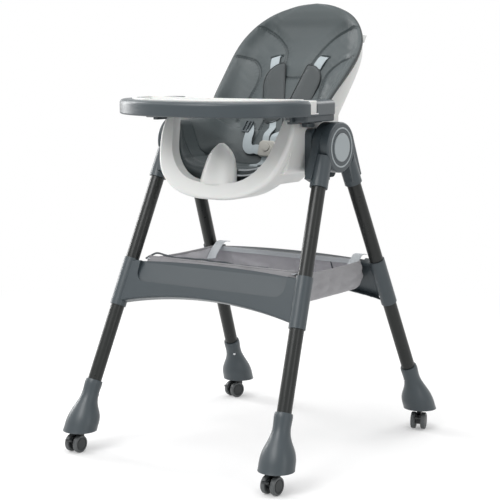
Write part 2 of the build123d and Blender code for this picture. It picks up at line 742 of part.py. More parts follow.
def back_lever():
    bar = block(-LEVER_HALF, LEVER_HALF, LEVER_V[0] - 8, LEVER_V[1] - 6, LEVER_W[0], LEVER_W[1] - 3)
    return back_plane() * fillet(bar.edges(), 2)


def tray_outline(inset):
    half = TRAY_HALF - inset
    front = EllipticalCenterArc((0, TRAY_CENTRE_Y), half, TRAY_DEPTH - inset, 180, arc_size=180)
    arm_out = ARM_REAR_X - inset
    arm_in = ARM_INNER_X + inset
    rear = TRAY_REAR_Y - inset
    belly = ThreePointArc((arm_in, BELLY_SIDE_Y), (0, BELLY_Y - inset), (-arm_in, BELLY_SIDE_Y))
    right = Polyline((half, TRAY_CENTRE_Y), (arm_out, rear), (arm_in, rear), (arm_in, BELLY_SIDE_Y))
    left = Polyline((-arm_in, BELLY_SIDE_Y), (-arm_in, rear), (-arm_out, rear), (-half, TRAY_CENTRE_Y))
    return make_face([front.edge(), *right.edges(), belly.edge(), *left.edges()])


def insert_outline(inset):
    half = TRAY_HALF - INSERT_INSET - inset
    deep = TRAY_DEPTH - INSERT_INSET - inset
    rear = INSERT_REAR_Y - inset
    front = EllipticalCenterArc((0, TRAY_CENTRE_Y), half, deep, 180, arc_size=180)
    right = Line((half, TRAY_CENTRE_Y), (half, rear + 22))
    belly = ThreePointArc((half, rear + 22), (0, rear - 10), (-half, rear + 22))
    left = Line((-half, rear + 22), (-half, TRAY_CENTRE_Y))
    return make_face([front.edge(), right.edge(), belly.edge(), left.edge()])


def tongue_space(grow):
    y0, y1 = TONGUE_Y
    top = TRAY_TOP_Z - TONGUE_T - grow
    edge = TRAY_HALF - INSERT_INSET - 12
    over = block(edge, 300, y0 - grow, y1 + grow, top, 900)
    return over + block(TONGUE_FACE_X - grow, 300, y0 - grow, y1 + grow, TONGUE_LOW_Z - 4, 900)


def tray_body():
    rim = extrude(Plane.XY.offset(TRAY_LOW_Z) * tray_outline(0), TRAY_TOP_Z - TRAY_LOW_Z)
    corners = rim.edges().filter_by(Axis.Z).filter_by(lambda e: e.center().Y > TRAY_REAR_Y - 1)
    rim = fillet(corners, 16)
    rim = fillet(rim.faces().sort_by(Axis.Z)[-1].edges(), 9)
    rim = fillet(rim.faces().sort_by(Axis.Z)[0].edges(), 4)
    deck_low = TRAY_TOP_Z - INSERT_RECESS - TRAY_DECK_T
    rim -= extrude(Plane.XY.offset(TRAY_LOW_Z - 1) * tray_outline(TRAY_WALL + 3), deck_low - TRAY_LOW_Z + 1)
    arm = block(GUIDE_OUT_X - 4, ARM_REAR_X - 4, ARM_FRONT_Y, TRAY_REAR_Y - 2, ARM_LOW_Z, TRAY_LOW_Z + 20)
    arm = fillet(arm.edges().filter_by(Axis.Z), 6)
    arm = fillet(arm.faces().sort_by(Axis.Z)[0].edges(), 3)
    guide_y = (ARM_FRONT_Y - 8, TRAY_REAR_Y - 6)
    guide = block(RAIL_OUT_X + SLIDE_GAP, GUIDE_OUT_X, *guide_y, GUIDE_LOW_Z, TRAY_LOW_Z + 20)
    lip = block(GUIDE_LIP_IN_X, GUIDE_OUT_X, *guide_y, GUIDE_LOW_Z, RAIL_LOW_Z - SLIDE_GAP)
    slot_y0, slot_y1 = LATCH_Y
    slot_x1 = LATCH_NECK[1] + LATCH_TRAVEL + 1
    side = arm + guide + lip
    side -= block(LATCH_NECK[0] - 1, slot_x1, slot_y0 + 7, slot_y1 - 7, GUIDE_LOW_Z - 5, RAIL_LOW_Z)
    body = rim + side + flip(side)
    body -= extrude(Plane.XY.offset(TRAY_TOP_Z - INSERT_RECESS) * insert_outline(0), 40)
    space = tongue_space(INSERT_GAP)
    return body - space - flip(space)


def tray_insert():
    base_z = TRAY_TOP_Z - INSERT_RECESS + INSERT_REST
    top_z = TRAY_TOP_Z + INSERT_RIM
    dish = extrude(Plane.XY.offset(base_z) * insert_outline(INSERT_GAP), top_z - base_z)
    dish = fillet(dish.faces().sort_by(Axis.Z)[-1].edges(), 1.2)
    dish -= extrude(Plane.XY.offset(base_z + INSERT_WALL) * insert_outline(9), 40)
    y0, y1 = TONGUE_Y
    edge = TRAY_HALF - INSERT_INSET - 8
    out = TONGUE_FACE_X + TONGUE_T
    tongue = block(edge, out, y0, y1, TRAY_TOP_Z - TONGUE_T, TRAY_TOP_Z + 0.6)
    tongue += block(TONGUE_FACE_X, out, y0, y1, TONGUE_LOW_Z, TRAY_TOP_Z + 0.6)
    corner = tongue.edges().filter_by(Axis.Y).sort_by(lambda e: e.center().X + e.center().Z)[-1:]
    tongue = fillet(corner, 3)
    tongue += block(TONGUE_FACE_X, out + 5, y0, y1, TONGUE_LOW_Z - 2.4, TONGUE_LOW_Z)
    return dish + tongue + flip(tongue)


def tray_latch():
    y0, y1 = LATCH_Y
    pad = block(LATCH_X[0], LATCH_X[1], y0, y1, GUIDE_LOW_Z - SLIDE_GAP - LATCH_T, GUIDE_LOW_Z - SLIDE_GAP)
    pad = fillet(pad.edges().filter_by(Axis.Z), 3)
    neck = block(LATCH_NECK[0], LATCH_NECK[1], y0 + 8, y1 - 8, GUIDE_LOW_Z - 2, RAIL_LOW_Z - 2 * SLIDE_GAP)
    return pad + neck


# Flat webbing that follows points in a side plane; its width runs along the plane's normal.
def ribbon(plane, points, width):
    curve = Spline(*points)
    near = []
    far = []
    for k in range(25):
        spot = curve @ (k / 24)
        run = curve % (k / 24)
        side = Vector(-run.Y, run.X, 0) * (WEB_T / 2)
        near.append(spot + side)
        far.append(spot - side)
    top = Spline(*near)
    low = Spline(*far)
    ends = (Line(near[0], far[0]), Line(near[-1], far[-1]))
    face = make_face([top.edge(), low.edge(), ends[0].edge(), ends[1].edge()])
    return plane * extrude(face, width / 2, both=True)


def crotch_strap():
    return Pos(BUCKLE_AT[0], 0, 0) * ribbon(Plane.YZ, CROTCH_PATH, WEB_W)


# Webbing along a free curve; the first vector sets which way its width runs.
def strap(points, across, width):
    path = Spline(*points)
    start = Plane(origin=path @ 0, x_dir=across, z_dir=path % 0)
    return sweep(start * Rectangle(width, WEB_T), path)


def back_point(x, v, w):
    return back_plane().from_local_coords(Vector(x, v, w))


def buckle_point(across, up):
    return (Pos(*BUCKLE_AT) * Rot(BUCKLE_TILT, 0, 0) * Pos(across, 0, up)).position


def buckle():
    x, y, z = BUCKLE_AT
    across, deep, high = BUCKLE_SIZE
    body = Box(across, deep, high)
    body = fillet(body.edges().filter_by(Axis.Y), 9)
    body = fillet(body.edges(), 2.5)
    body -= Pos(0, -deep / 2, 2) * Rot(90, 0, 0) * Cylinder(BUCKLE_BUTTON_R + 0.5, 2 * BUCKLE_WELL)
    return Pos(x, y, z) * Rot(BUCKLE_TILT, 0, 0) * body


def buckle_button():
    x, y, z = BUCKLE_AT
    deep = BUCKLE_SIZE[1]
    knob = Rot(90, 0, 0) * Cylinder(BUCKLE_BUTTON_R, BUCKLE_WELL - 1)
    knob = Pos(0, -deep / 2 + BUCKLE_WELL / 2 - 2.6, 2) * knob
    knob = fillet(knob.edges().sort_by(Axis.Y)[:1], 1)
    return Pos(x, y, z) * Rot(BUCKLE_TILT, 0, 0) * knob


# One shoulder strap lies in a plane square to the back, turned in towards the buckle.
def shoulder_plane(side):
    return back_plane().location * shoulder_turn(side)


def shoulder_w(s):
    return SHOULDER_W + SHOULDER_RISE * s


def shoulder_pad(side):
    top, low = SHOULDER_PAD_S
    rings = []
    sections = (
        (top, 34, 4), (top + 14, 48, 7), (top + 56, 58, 8),
        (low - 60, 56, 8), (low - 14, 42, 7), (low, 32, 4),
    )
    for s, width, thick in sections:
        rings.append(Pos(0, -s, shoulder_w(s)) * Rot(90, 0, 0) * RectangleRounded(width, thick, 1.9))
    return shoulder_plane(side) * loft(rings)


def shoulder_stub(side):
    top = SHOULDER_PAD_S[0]
    bend = ((0, -32), (0, -24), (0, -16), (0, -8), (0, -1), (-1, 4))
    points = (*bend, (-5, shoulder_w(0) - 0.6), (-top + WEB_GAP, shoulder_w(top)))
    return shoulder_plane(side) * ribbon(Plane.YZ, points, WEB_W)


def shoulder_web(side):
    low = SHOULDER_PAD_S[1] + 3 * WEB_GAP
    place = shoulder_plane(side)
    start = (place * Pos(0, -low, shoulder_w(low))).position
    before = (place * Pos(0, -low + 1, shoulder_w(low))).position
    end = buckle_point(side * 10, BUCKLE_SIZE[2] / 2 + WEB_GAP)
    near = buckle_point(side * 10.6, BUCKLE_SIZE[2] / 2 + 9)
    return strap((start, start + (start - before) * 12, near, end), (1, 0, 0), WEB_W - 6)


def waist_web(side):
    start = back_point(side * WAIST_SLOT_X, WAIST_SLOT_V, 13)
    near = back_point(side * (WAIST_SLOT_X - 34), WAIST_SLOT_V - 5, 13.5)
    close = buckle_point(side * (BUCKLE_SIZE[0] / 2 + 12), -1)
    end = buckle_point(side * (BUCKLE_SIZE[0] / 2 + 10 * WEB_GAP), -4)
    return strap((start, near, close, end), back_point(0, 1, 0) - back_point(0, 0, 0), WEB_W)


def waist_adjuster(side):
    frame = Box(22, WEB_W + 8, 4)
    frame = fillet(frame.edges().filter_by(Axis.Z), 3)
    frame -= Pos(5, 0, 0) * Box(6, WEB_W + 1.2, 20)
    frame -= Pos(-5, 0, 0) * Box(6, WEB_W + 1.2, 20)
    place = Pos(side * (WAIST_SLOT_X - 24), WAIST_SLOT_V - 3.5, 18.2) * Rot(0, 0, side * 8)
    return back_plane().location * place * frame


def strap_slider(side):
    frame = Box(26, 3, 20)
    frame = fillet(frame.edges().filter_by(Axis.Y), 4)
    frame -= Pos(0, 0, 4) * Box(20, 10, 4)
    frame -= Pos(0, 0, -4) * Box(20, 10, 4)
    web = Pos(0, 0, 10) * Box(19, WEB_T, 10)
    return Pos(side * 152, 60, SEAT_LOW_Z - 15) * (frame + web)


def basket_ring(z, grow):
    share = (BASKET_TOP_Z - z) / (BASKET_TOP_Z - BASKET_LOW_Z)
    half = BASKET_HALF - BASKET_DRAW * share + grow
    front = BASKET_FRONT_Y - BASKET_SPREAD * share - grow
    rear = BASKET_REAR_Y + BASKET_SPREAD * share + grow
    corner = BASKET_CORNER + grow
    steps = 4 * FOLD_COUNT
    right = []
    for k in range(steps + 1):
        t = k / steps
        y = front + corner + (rear - front - 2 * corner) * t
        right.append((half + FOLD_DEPTH * math.sin(2 * math.pi * FOLD_COUNT * t) * math.sin(math.pi * t), y))
    bend = corner * 0.293
    across = [x * half / 3.4 for x in (3, 2, 1, 0, -1, -2, -3)]
    left = [(-x, y) for x, y in reversed(right)]
    rear_side = [(half - bend, rear - bend), *[(x, rear) for x in across], (-half + bend, rear - bend)]
    front_side = [(-half + bend, front + bend), *[(-x, front) for x in across], (half - bend, front + bend)]
    points = right + rear_side + left + front_side
    return Pos(0, 0, z) * make_face(Polyline(*points, close=True))


# Webbing from a crossbar's top corner down to the side edge of the basket.
def basket_strap(side, end):
    start_y = BASKET_REAR_Y if end > 0 else BASKET_FRONT_Y
    start = Vector(side * (BASKET_HALF - 22), start_y + end * 1.5, BASKET_TOP_Z + 3)
    finish = Vector(side * (BASKET_HALF - 1), start_y - end * 44, BASKET_TOP_Z + 1.4)
    middle = (start + finish) * 0.5 + Vector(0, 0, 2)
    return strap((start, middle, finish), (1, end * 0.5, 0), WEB_W - 4)


def basket():
    outer = loft([basket_ring(z, 0) for z in (BASKET_LOW_Z, BASKET_TOP_Z)], ruled=True)
    levels = (BASKET_LOW_Z + BASKET_T, BASKET_TOP_Z + 10)
    return outer - loft([basket_ring(z, -BASKET_T) for z in levels], ruled=True)


# Casters are drawn with the swivel axis on z and the wheels trailing towards -y.
def caster_fork():
    stem = rod((0, 0, 38), (0, 0, STEM_TOP_Z), STEM_R)
    collar = rod((0, 0, 41), (0, 0, BOOT_BASE_Z - 0.5), 9)
    back = ((-9, 43), (-TRAIL - 8, 34), (-TRAIL - 11, 20), (-TRAIL, 10))
    side = make_face(Polyline((9, 43), *back, (-4, 13), (9, 33), close=True))
    web = extrude(Plane.YZ * side, WEB_HALF, both=True)
    web = fillet(web.edges().filter_by(Axis.X), 3)
    body = stem + collar + web
    body -= x_disc(-20, 20, -TRAIL, WHEEL_R, CASTER_AXLE_R + RUN_FIT)
    body -= block(-BRAKE_HALF - 0.4, BRAKE_HALF + 0.4, -40, BRAKE_AT[0] + 5.5, BRAKE_AT[1] - 9, 60)
    return body - x_disc(-20, 20, BRAKE_AT[0], BRAKE_AT[1], BRAKE_PIN_R + RUN_FIT)


def caster_wheels():
    body = x_disc(-WHEEL_IN - 2, WHEEL_IN + 2, -TRAIL, WHEEL_R, CASTER_AXLE_R)
    for side in (-1, 1):
        wheel = x_disc(side * WHEEL_IN, side * (WHEEL_IN + WHEEL_T), -TRAIL, WHEEL_R, WHEEL_R)
        wheel = fillet(wheel.edges(), 2.5)
        out = side * (WHEEL_IN + WHEEL_T)
        dish = x_disc(out - side * 1.2, out + side * 5, -TRAIL, WHEEL_R, 15)
        dish -= x_disc(out - side * 6, out + side * 9, -TRAIL, WHEEL_R, 13)
        body += wheel - dish
    return body


def caster_brake():
    y, z = BRAKE_AT
    arm = block(-BRAKE_HALF, BRAKE_HALF, y - 24, y + 4, z - 2.5, z + 2.5)
    arm = fillet(arm.edges().filter_by(Axis.X), 1.5)
    pedal = block(-9, 9, y - 28, y - 21.5, z - 2, z + 2)
    pedal = fillet(pedal.edges().filter_by(Axis.Z), 3)
    pin = x_disc(-WEB_HALF, WEB_HALF, y, z, BRAKE_PIN_R)
    return arm + pedal + pin


os.makedirs("parts", exist_ok=True)
for front, end in ((True, "front"), (False, "rear")):
    tube = leg_tube(front)
    save(tube, f"{end}_leg_right")
    save(flip(tube), f"{end}_leg_left")
    foot = boot(front)
    save(foot, f"{end}_foot_right")
    save(flip(foot), f"{end}_foot_left")
    save(crossbar(front), f"{end}_crossbar")
    pins = group(boot_snap(front), bar_snap(front))
    save(group(pins, flip(pins)), f"{end}_snaps")

save(hub_front(), "hub_front_right")
save(flip(hub_front()), "hub_front_left")
save(hub_rear(), "hub_rear_right")
save(flip(hub_rear()), "hub_rear_left")
save(group(hub_axle(), flip(hub_axle())), "hub_axles")
save(group(hub_ring(), flip(hub_ring())), "hub_rings")
save(hub_button(), "hub_button_right")
save(flip(hub_button()), "hub_button_left")
save(hub_spring(), "hub_spring_right")
save(flip(hub_spring()), "hub_spring_left")
save(seat_shell(), "seat_shell")
save(group(seat_bracket(), flip(seat_bracket())), "seat_brackets")
save(seat_pad(), "seat_pad")
save(back_shell(), "backrest_shell")
save(back_pad(), "back_pad")
save(back_lever(), "recline_lever")
save(tray_body(), "tray_body")
save(tray_insert(), "tray_insert")
save(tray_latch(), "tray_latch_right")
save(flip(tray_latch()), "tray_latch_left")
save(crotch_strap(), "crotch_strap")
save(buckle(), "buckle")
save(buckle_button(), "buckle_button")
save(group(shoulder_pad(-1), shoulder_pad(1)), "shoulder_pads")
save(group(shoulder_stub(-1), shoulder_stub(1)), "shoulder_webbing")
save(group(shoulder_web(-1), shoulder_web(1), waist_web(-1), waist_web(1)), "harness_webbing")
save(group(waist_adjuster(-1), waist_adjuster(1)), "waist_adjusters")
save(group(strap_slider(-1), strap_slider(1)), "strap_sliders")
save(basket(), "basket")
save(group(*[basket_strap(side, end) for side in (-1, 1) for end in (-1, 1)]), "basket_straps")
for name, turn in CASTER_TURN.items():
    x, y, z = caster_point(name.startswith("front"))
    place = Pos(-x if name.endswith("left") else x, y, 0) * Rot(0, 0, turn)
    save(place * caster_fork(), f"caster_fork_{name}")
    save(place * caster_wheels(), f"caster_wheels_{name}")
    save(place * caster_brake(), f"caster_brake_{name}")
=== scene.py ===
import json
import math

import bpy
import numpy as np
from mathutils import Matrix, Vector


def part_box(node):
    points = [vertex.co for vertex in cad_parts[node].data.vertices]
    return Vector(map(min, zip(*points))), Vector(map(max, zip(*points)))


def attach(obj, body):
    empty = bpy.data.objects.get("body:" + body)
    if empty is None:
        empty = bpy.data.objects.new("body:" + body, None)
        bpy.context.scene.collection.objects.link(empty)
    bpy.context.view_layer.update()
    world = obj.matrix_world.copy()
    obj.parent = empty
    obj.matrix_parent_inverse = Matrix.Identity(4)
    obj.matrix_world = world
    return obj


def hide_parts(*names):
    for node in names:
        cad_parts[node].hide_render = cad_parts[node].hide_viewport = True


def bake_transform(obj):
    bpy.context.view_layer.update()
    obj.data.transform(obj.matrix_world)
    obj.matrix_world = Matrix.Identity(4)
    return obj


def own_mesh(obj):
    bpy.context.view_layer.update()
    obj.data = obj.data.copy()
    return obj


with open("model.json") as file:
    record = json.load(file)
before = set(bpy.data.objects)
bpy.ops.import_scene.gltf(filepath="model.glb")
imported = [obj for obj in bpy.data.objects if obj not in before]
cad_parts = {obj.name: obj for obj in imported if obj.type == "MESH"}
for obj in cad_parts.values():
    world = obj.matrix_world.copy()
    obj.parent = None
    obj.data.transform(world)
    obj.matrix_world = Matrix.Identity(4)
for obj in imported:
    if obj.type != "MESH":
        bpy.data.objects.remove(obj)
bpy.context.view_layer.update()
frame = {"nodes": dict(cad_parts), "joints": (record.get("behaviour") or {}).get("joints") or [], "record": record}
nodes = frame["nodes"]
mm = 0.001
print("frame loaded:", len(nodes), "nodes")


# a smooth line through a few points: cubic pieces whose slopes come from the neighbouring points
def smoothThrough(points, at, wanted):
    points = np.asarray(points, float)
    at = np.asarray(at, float)
    slope = np.gradient(points, at, axis=0)
    wanted = np.clip(np.asarray(wanted, float), at[0], at[-1])
    k = np.clip(np.searchsorted(at, wanted) - 1, 0, len(at) - 2)
    shape = (-1,) + (1,) * (points.ndim - 1)
    span = (at[k + 1] - at[k]).reshape(shape)
    u = ((wanted - at[k]) / (at[k + 1] - at[k])).reshape(shape)
    start = (2 * u**3 - 3 * u**2 + 1) * points[k] + (u**3 - 2 * u**2 + u) * span * slope[k]
    return start + (3 * u**2 - 2 * u**3) * points[k + 1] + (u**3 - u**2) * span * slope[k + 1]


# distance covered at each point of a line
def runAlong(line):
    return np.concatenate([[0], np.cumsum(np.linalg.norm(np.diff(line, axis=0), axis=1))])


# spots of a line at the wanted distances
def spotsAt(wanted, run, line):
    return np.stack([np.interp(wanted, run, column) for column in line.T], -1)


# vectors divided by their own length
def unit(vectors):
    return vectors / np.linalg.norm(vectors, axis=-1, keepdims=True)


# evenly spaced points of a smooth line through a few
def curveThrough(points, count):
    points = np.asarray(points, float)
    at = runAlong(points)
    fine = smoothThrough(points, at, np.linspace(0, at[-1], 8 * count))
    run = runAlong(fine)
    return spotsAt(np.linspace(0, run[-1], count), run, fine)


# nought below low, one above high, and an S-shaped rise between them
def smoothStep(value, low, high):
    t = np.clip((value - low) / (high - low), 0, 1)
    return t * t * (3 - 2 * t)


# soft waves of several sizes, the same on every run, for cloth that never lies quite flat
def softWaves(a, b, size, seed, count=7):
    draw = np.random.default_rng(seed)
    total = np.zeros_like(a)
    for _ in range(count):
        turn = draw.uniform(0, math.pi)
        length = size * draw.uniform(0.6, 1.8)
        shift = draw.uniform(0, 2 * math.pi)
        along = a * math.cos(turn) + b * math.sin(turn)
        total = total + np.sin(2 * math.pi * along / length + shift) / count
    return total


# quads between the rows and columns of a grid of points, joined round where it is closed
def gridFaces(rows, columns, aroundRows=False, aroundColumns=False):
    row = np.arange(rows if aroundRows else rows - 1)
    column = np.arange(columns if aroundColumns else columns - 1)
    i, j = np.meshgrid(row, column, indexing="ij")
    nextI = (i + 1) % rows
    nextJ = (j + 1) % columns
    corners = (i * columns + j, i * columns + nextJ, nextI * columns + nextJ, nextI * columns + j)
    return np.stack(corners, -1).reshape(-1, 4)


# a row of rings with one flat face on each end
def tubeFaces(rows, columns):
    ends = [list(range(columns))[::-1], list(range((rows - 1) * columns, rows * columns))]
    return gridFaces(rows, columns, False, True).tolist() + ends


# triangles from the last ring to one more point after it
def fanFaces(rows, columns):
    last = (rows - 1) * columns
    return [[last + j, last + (j + 1) % columns, rows * columns] for j in range(columns)]


# a mesh object from millimetre points, with its uv in millimetres along and across
def makePiece(name, points, faces, material, uv=None, smooth=True, fixNormals=True):
    mesh = bpy.data.meshes.new(name)
    mesh.from_pydata((points.reshape(-1, 3) * mm).tolist(), [], [list(face) for face in faces])
    if uv is not None:
        layer = mesh.uv_layers.new(name="along")
        corner = np.zeros(len(mesh.loops), np.int32)
        mesh.loops.foreach_get("vertex_index", corner)
        layer.data.foreach_set("uv", (uv.reshape(-1, 2)[corner] * mm).astype(np.float32).ravel())
    mesh.polygons.foreach_set("use_smooth", np.full(len(mesh.polygons), smooth))
    if fixNormals:
        outwards(mesh)
    mesh.update()
    piece = bpy.data.objects.new(name, mesh)
    bpy.context.scene.collection.objects.link(piece)
    piece.data.materials.append(material)
    return piece


# a closed mesh whose volume comes out negative has its faces turned round
def outwards(mesh):
    mesh.calc_loop_triangles()
    co = np.zeros(len(mesh.vertices) * 3)
    mesh.vertices.foreach_get("co", co)
    co = co.reshape(-1, 3)
    tri = np.zeros(len(mesh.loop_triangles) * 3, np.int32)
    mesh.loop_triangles.foreach_get("vertices", tri)
    a, b, c = (co[tri[k::3]] for k in range(3))
    if np.sum(a * np.cross(b, c)) < 0:
        mesh.flip_normals()


# the same number of subdivisions on screen and in the render
def subdivide(piece, levels):
    modifier = piece.modifiers.new("Subdivision", "SUBSURF")
    modifier.levels = levels
    modifier.render_levels = levels


# body that the piece rides on, its material slot, which is not used, and the solids that it stands for
def dress(piece, body, slot, *replaced):
    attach(piece, body)
    if replaced:
        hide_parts(*replaced)
    return piece


# cross sections carried along a path: each row is the section laid across the path, ends closed
def sweepPiece(name, path, across, section, material, closed=False):
    path = np.asarray(path, float)
    run = np.gradient(path, axis=0)
    if closed:
        run = np.roll(path, -1, 0) - np.roll(path, 1, 0)
    run = unit(run)
    side = np.broadcast_to(np.asarray(across, float), path.shape)
    side = unit(side - run * np.sum(side * run, 1, keepdims=True))
    up = np.cross(run, side)
    wide, tall = section[None, :, 0:1], section[None, :, 1:2]
    points = path[:, None] + side[:, None] * wide + up[:, None] * tall
    size = points.shape[:2]
    faces = gridFaces(*size, True, True) if closed else tubeFaces(*size)
    uv = np.stack(np.broadcast_arrays(runAlong(path)[:, None], section[None, :, 0]), -1)
    return makePiece(name, points, faces, material, uv)


# section of flat webbing: a thin rounded strip
def webSection(width, thick, corner=5, flat=9):
    turn = np.linspace(-math.pi / 2, math.pi / 2, corner)
    reach = width / 2 - thick / 2
    right = np.stack([reach + np.cos(turn) * thick / 2, np.sin(turn) * thick / 2], 1)
    top = np.stack([np.linspace(0.98, -0.98, flat) * reach, np.full(flat, thick / 2)], 1)
    ring = np.concatenate([right, top])
    return np.concatenate([ring, -ring])


# points round a circle
def roundSection(radius, count):
    turn = np.arange(count) * 2 * math.pi / count
    return np.stack([np.cos(turn), np.sin(turn)], 1) * radius


# shader node groups shared by the materials: a place and a tone come in besides the group's own numbers
def newGroup(name, numbers):
    group = bpy.data.node_groups.new(name, "ShaderNodeTree")
    inputs = [("Vector", "NodeSocketVector", (0, 0, 0)), ("Tone", "NodeSocketColor", (0.5, 0.5, 0.5, 1))]
    inputs += [(key, "NodeSocketFloat", value) for key, value in numbers.items()]
    for socketName, kind, value in inputs:
        socket = group.interface.new_socket(socketName, in_out="INPUT", socket_type=kind)
        socket.default_value = value
    for socketName, kind in (("Color", "Color"), ("Roughness", "Float"), ("Height", "Float")):
        group.interface.new_socket(socketName, in_out="OUTPUT", socket_type="NodeSocket" + kind)
    enter = group.nodes.new("NodeGroupInput")
    leave = group.nodes.new("NodeGroupOutput")
    return group, enter, leave


# a shader node with its settings, and values for its unlinked sockets
def addNode(tree, kind, values=None, **settings):
    node = tree.nodes.new(kind)
    for key, value in settings.items():
        setattr(node, key, value)
    for key, value in (values or {}).items():
        node.inputs[key].default_value = value
    return node


# one sum in a shader, each side a number or another node's output
def mathNode(tree, operation, a, b=None):
    node = addNode(tree, "ShaderNodeMath", operation=operation)
    for k, value in enumerate((a, b)):
        if value is None:
            continue
        if isinstance(value, (int, float)):
            node.inputs[k].default_value = value
        else:
            tree.links.new(value, node.inputs[k])
    return node.outputs[0]


# a mix node's colour sockets are the seventh and eighth going in and the third coming out
def mixColours(tree, factor, a, b):
    node = addNode(tree, "ShaderNodeMix", data_type="RGBA")
    tree.links.new(factor, node.inputs["Factor"])
    for key, value in ((6, a), (7, b)):
        if isinstance(value, tuple):
            node.inputs[key].default_value = value
        else:
            tree.links.new(value, node.inputs[key])
    return node.outputs[2]


# noise read at the group's own place
def noiseNode(group, enter, **values):
    node = addNode(group, "ShaderNodeTexNoise", values)
    group.links.new(enter.outputs["Vector"], node.inputs["Vector"])
    return node


# the group's tone made darker or paler
def shaded(group, enter, value):
    node = addNode(group, "ShaderNodeHueSaturation", {"Value": value})
    group.links.new(enter.outputs["Tone"], node.inputs["Color"])
    return node.outputs["Color"]


# roughness that drifts about the group's gloss with a noise
def wornGloss(group, enter, leave, noise, amount):
    worn = mathNode(group, "MULTIPLY", mathNode(group, "SUBTRACT", noise.outputs["Fac"], 0.5), amount)
    group.links.new(mathNode(group, "ADD", enter.outputs["Gloss"], worn), leave.inputs["Roughness"])


# moulded plastic: fine spark-eroded grain, slow tone drift, faint scuffs
def mouldedGroup():
    group, enter, leave = newGroup("mouldedSkin", {"Drift": 0.08, "Grain": 1400, "Gloss": 0.4})
    link = group.links.new
    fine = noiseNode(group, enter, Detail=3, Roughness=0.6)
    slow = noiseNode(group, enter, Scale=9, Detail=2)
    scuff = noiseNode(group, enter, Scale=46, Detail=5, Roughness=0.7)
    link(enter.outputs["Grain"], fine.inputs["Scale"])
    share = mathNode(group, "MULTIPLY", slow.outputs["Fac"], enter.outputs["Drift"])
    share = mathNode(group, "MULTIPLY", share, 6.0)
    link(mixColours(group, share, enter.outputs["Tone"], shaded(group, enter, 0.86)), leave.inputs["Color"])
    wornGloss(group, enter, leave, scuff, 0.22)
    link(fine.outputs["Fac"], leave.inputs["Height"])
    return group


# coated leather: pebbled cells with fine creases between them, the creases painted darker as shade
def leatherGroup():
    group, enter, leave = newGroup("leatherSkin", {"Cell": 900, "Gloss": 0.45})
    link = group.links.new
    bend = noiseNode(group, enter, Scale=160, Detail=2)
    slow = noiseNode(group, enter, Scale=14, Detail=3)
    fine = noiseNode(group, enter, Scale=2400, Detail=2)
    shifted = addNode(group, "ShaderNodeVectorMath", operation="MULTIPLY_ADD")
    shifted.inputs[1].default_value = (0.0016, 0.0016, 0.0016)
    cells = addNode(group, "ShaderNodeTexVoronoi", feature="DISTANCE_TO_EDGE")
    link(bend.outputs["Color"], shifted.inputs[0])
    link(enter.outputs["Vector"], shifted.inputs[2])
    link(shifted.outputs["Vector"], cells.inputs["Vector"])
    link(enter.outputs["Cell"], cells.inputs["Scale"])
    crease = addNode(group, "ShaderNodeMapRange", {"From Min": 0.0, "From Max": 0.22})
    link(cells.outputs["Distance"], crease.inputs["Value"])
    pores = mathNode(group, "MULTIPLY", fine.outputs["Fac"], 0.3)
    link(mathNode(group, "ADD", crease.outputs["Result"], pores), leave.inputs["Height"])
    dark = shaded(group, enter, 0.72)
    base = mixColours(group, slow.outputs["Fac"], dark, shaded(group, enter, 1.16))
    # painted shade: the low creases between the cells are mixed towards the dark tone
    link(mixColours(group, crease.outputs["Result"], dark, base), leave.inputs["Color"])
    wornGloss(group, enter, leave, slow, 0.24)
    return group


# woven cloth on the piece's own uv: two crossing sets of threads, the low places between them painted darker as
# shade
def weaveGroup():
    group, enter, leave = newGroup("wovenThreads", {"Along": 500, "Across": 500, "Drift": 0.5})
    link = group.links.new
    split = addNode(group, "ShaderNodeSeparateXYZ")
    link(enter.outputs["Vector"], split.inputs[0])
    waves = []
    for k, key in enumerate(("Along", "Across")):
        turns = mathNode(group, "MULTIPLY", split.outputs[k], enter.outputs[key])
        waves.append(mathNode(group, "SINE", mathNode(group, "MULTIPLY", turns, 2 * math.pi)))
    threads = mathNode(group, "MULTIPLY", *waves)
    height = mathNode(group, "ADD", mathNode(group, "MULTIPLY", threads, 0.5), 0.5)
    link(height, leave.inputs["Height"])
    slow = noiseNode(group, enter, Scale=30, Detail=4, Roughness=0.65)
    dark = shaded(group, enter, 0.78)
    share = mathNode(group, "MULTIPLY", slow.outputs["Fac"], enter.outputs["Drift"])
    base = mixColours(group, share, enter.outputs["Tone"], dark)
    # painted shade: where the threads' height is low the colour goes to the dark tone
    link(mixColours(group, height, dark, base), leave.inputs["Color"])
    rough = addNode(group, "ShaderNodeMapRange", {"To Min": 0.95, "To Max": 0.7})
    link(height, rough.inputs["Value"])
    link(rough.outputs["Result"], leave.inputs["Roughness"])
    return group


moulded = mouldedGroup()
leather = leatherGroup()
woven = weaveGroup()


# a colour given as it looks on screen, 0 to 255, turned into a linear one
def tone(red, green, blue):
    share = np.array([red, green, blue]) / 255
    linear = np.where(share <= 0.04045, share / 12.92, ((share + 0.055) / 1.055) ** 2.4)
    return (*linear.tolist(), 1)


# material with one skin group in front of its Principled shader
def skinMaterial(name, group, colour, values, bump, coordinate="Object", **shader):
    material = bpy.data.materials.new(name)
    material.use_nodes = True
    tree = material.node_tree
    principled = tree.nodes["Principled BSDF"]
    skin = addNode(tree, "ShaderNodeGroup", node_tree=group)
    skin.inputs["Tone"].default_value = colour
    for key, value in values.items():
        skin.inputs[key].default_value = value
    where = addNode(tree, "ShaderNodeTexCoord")
    tree.links.new(where.outputs[coordinate], skin.inputs["Vector"])
    relief = addNode(tree, "ShaderNodeBump", {"Strength": bump[0], "Distance": bump[1] * mm})
    tree.links.new(skin.outputs["Height"], relief.inputs["Height"])
    tree.links.new(skin.outputs["Color"], principled.inputs["Base Color"])
    tree.links.new(skin.outputs["Roughness"], principled.inputs["Roughness"])
    tree.links.new(relief.outputs["Normal"], principled.inputs["Normal"])
    for key, value in shader.items():
        principled.inputs[key.replace("_", " ")].default_value = value
    return material


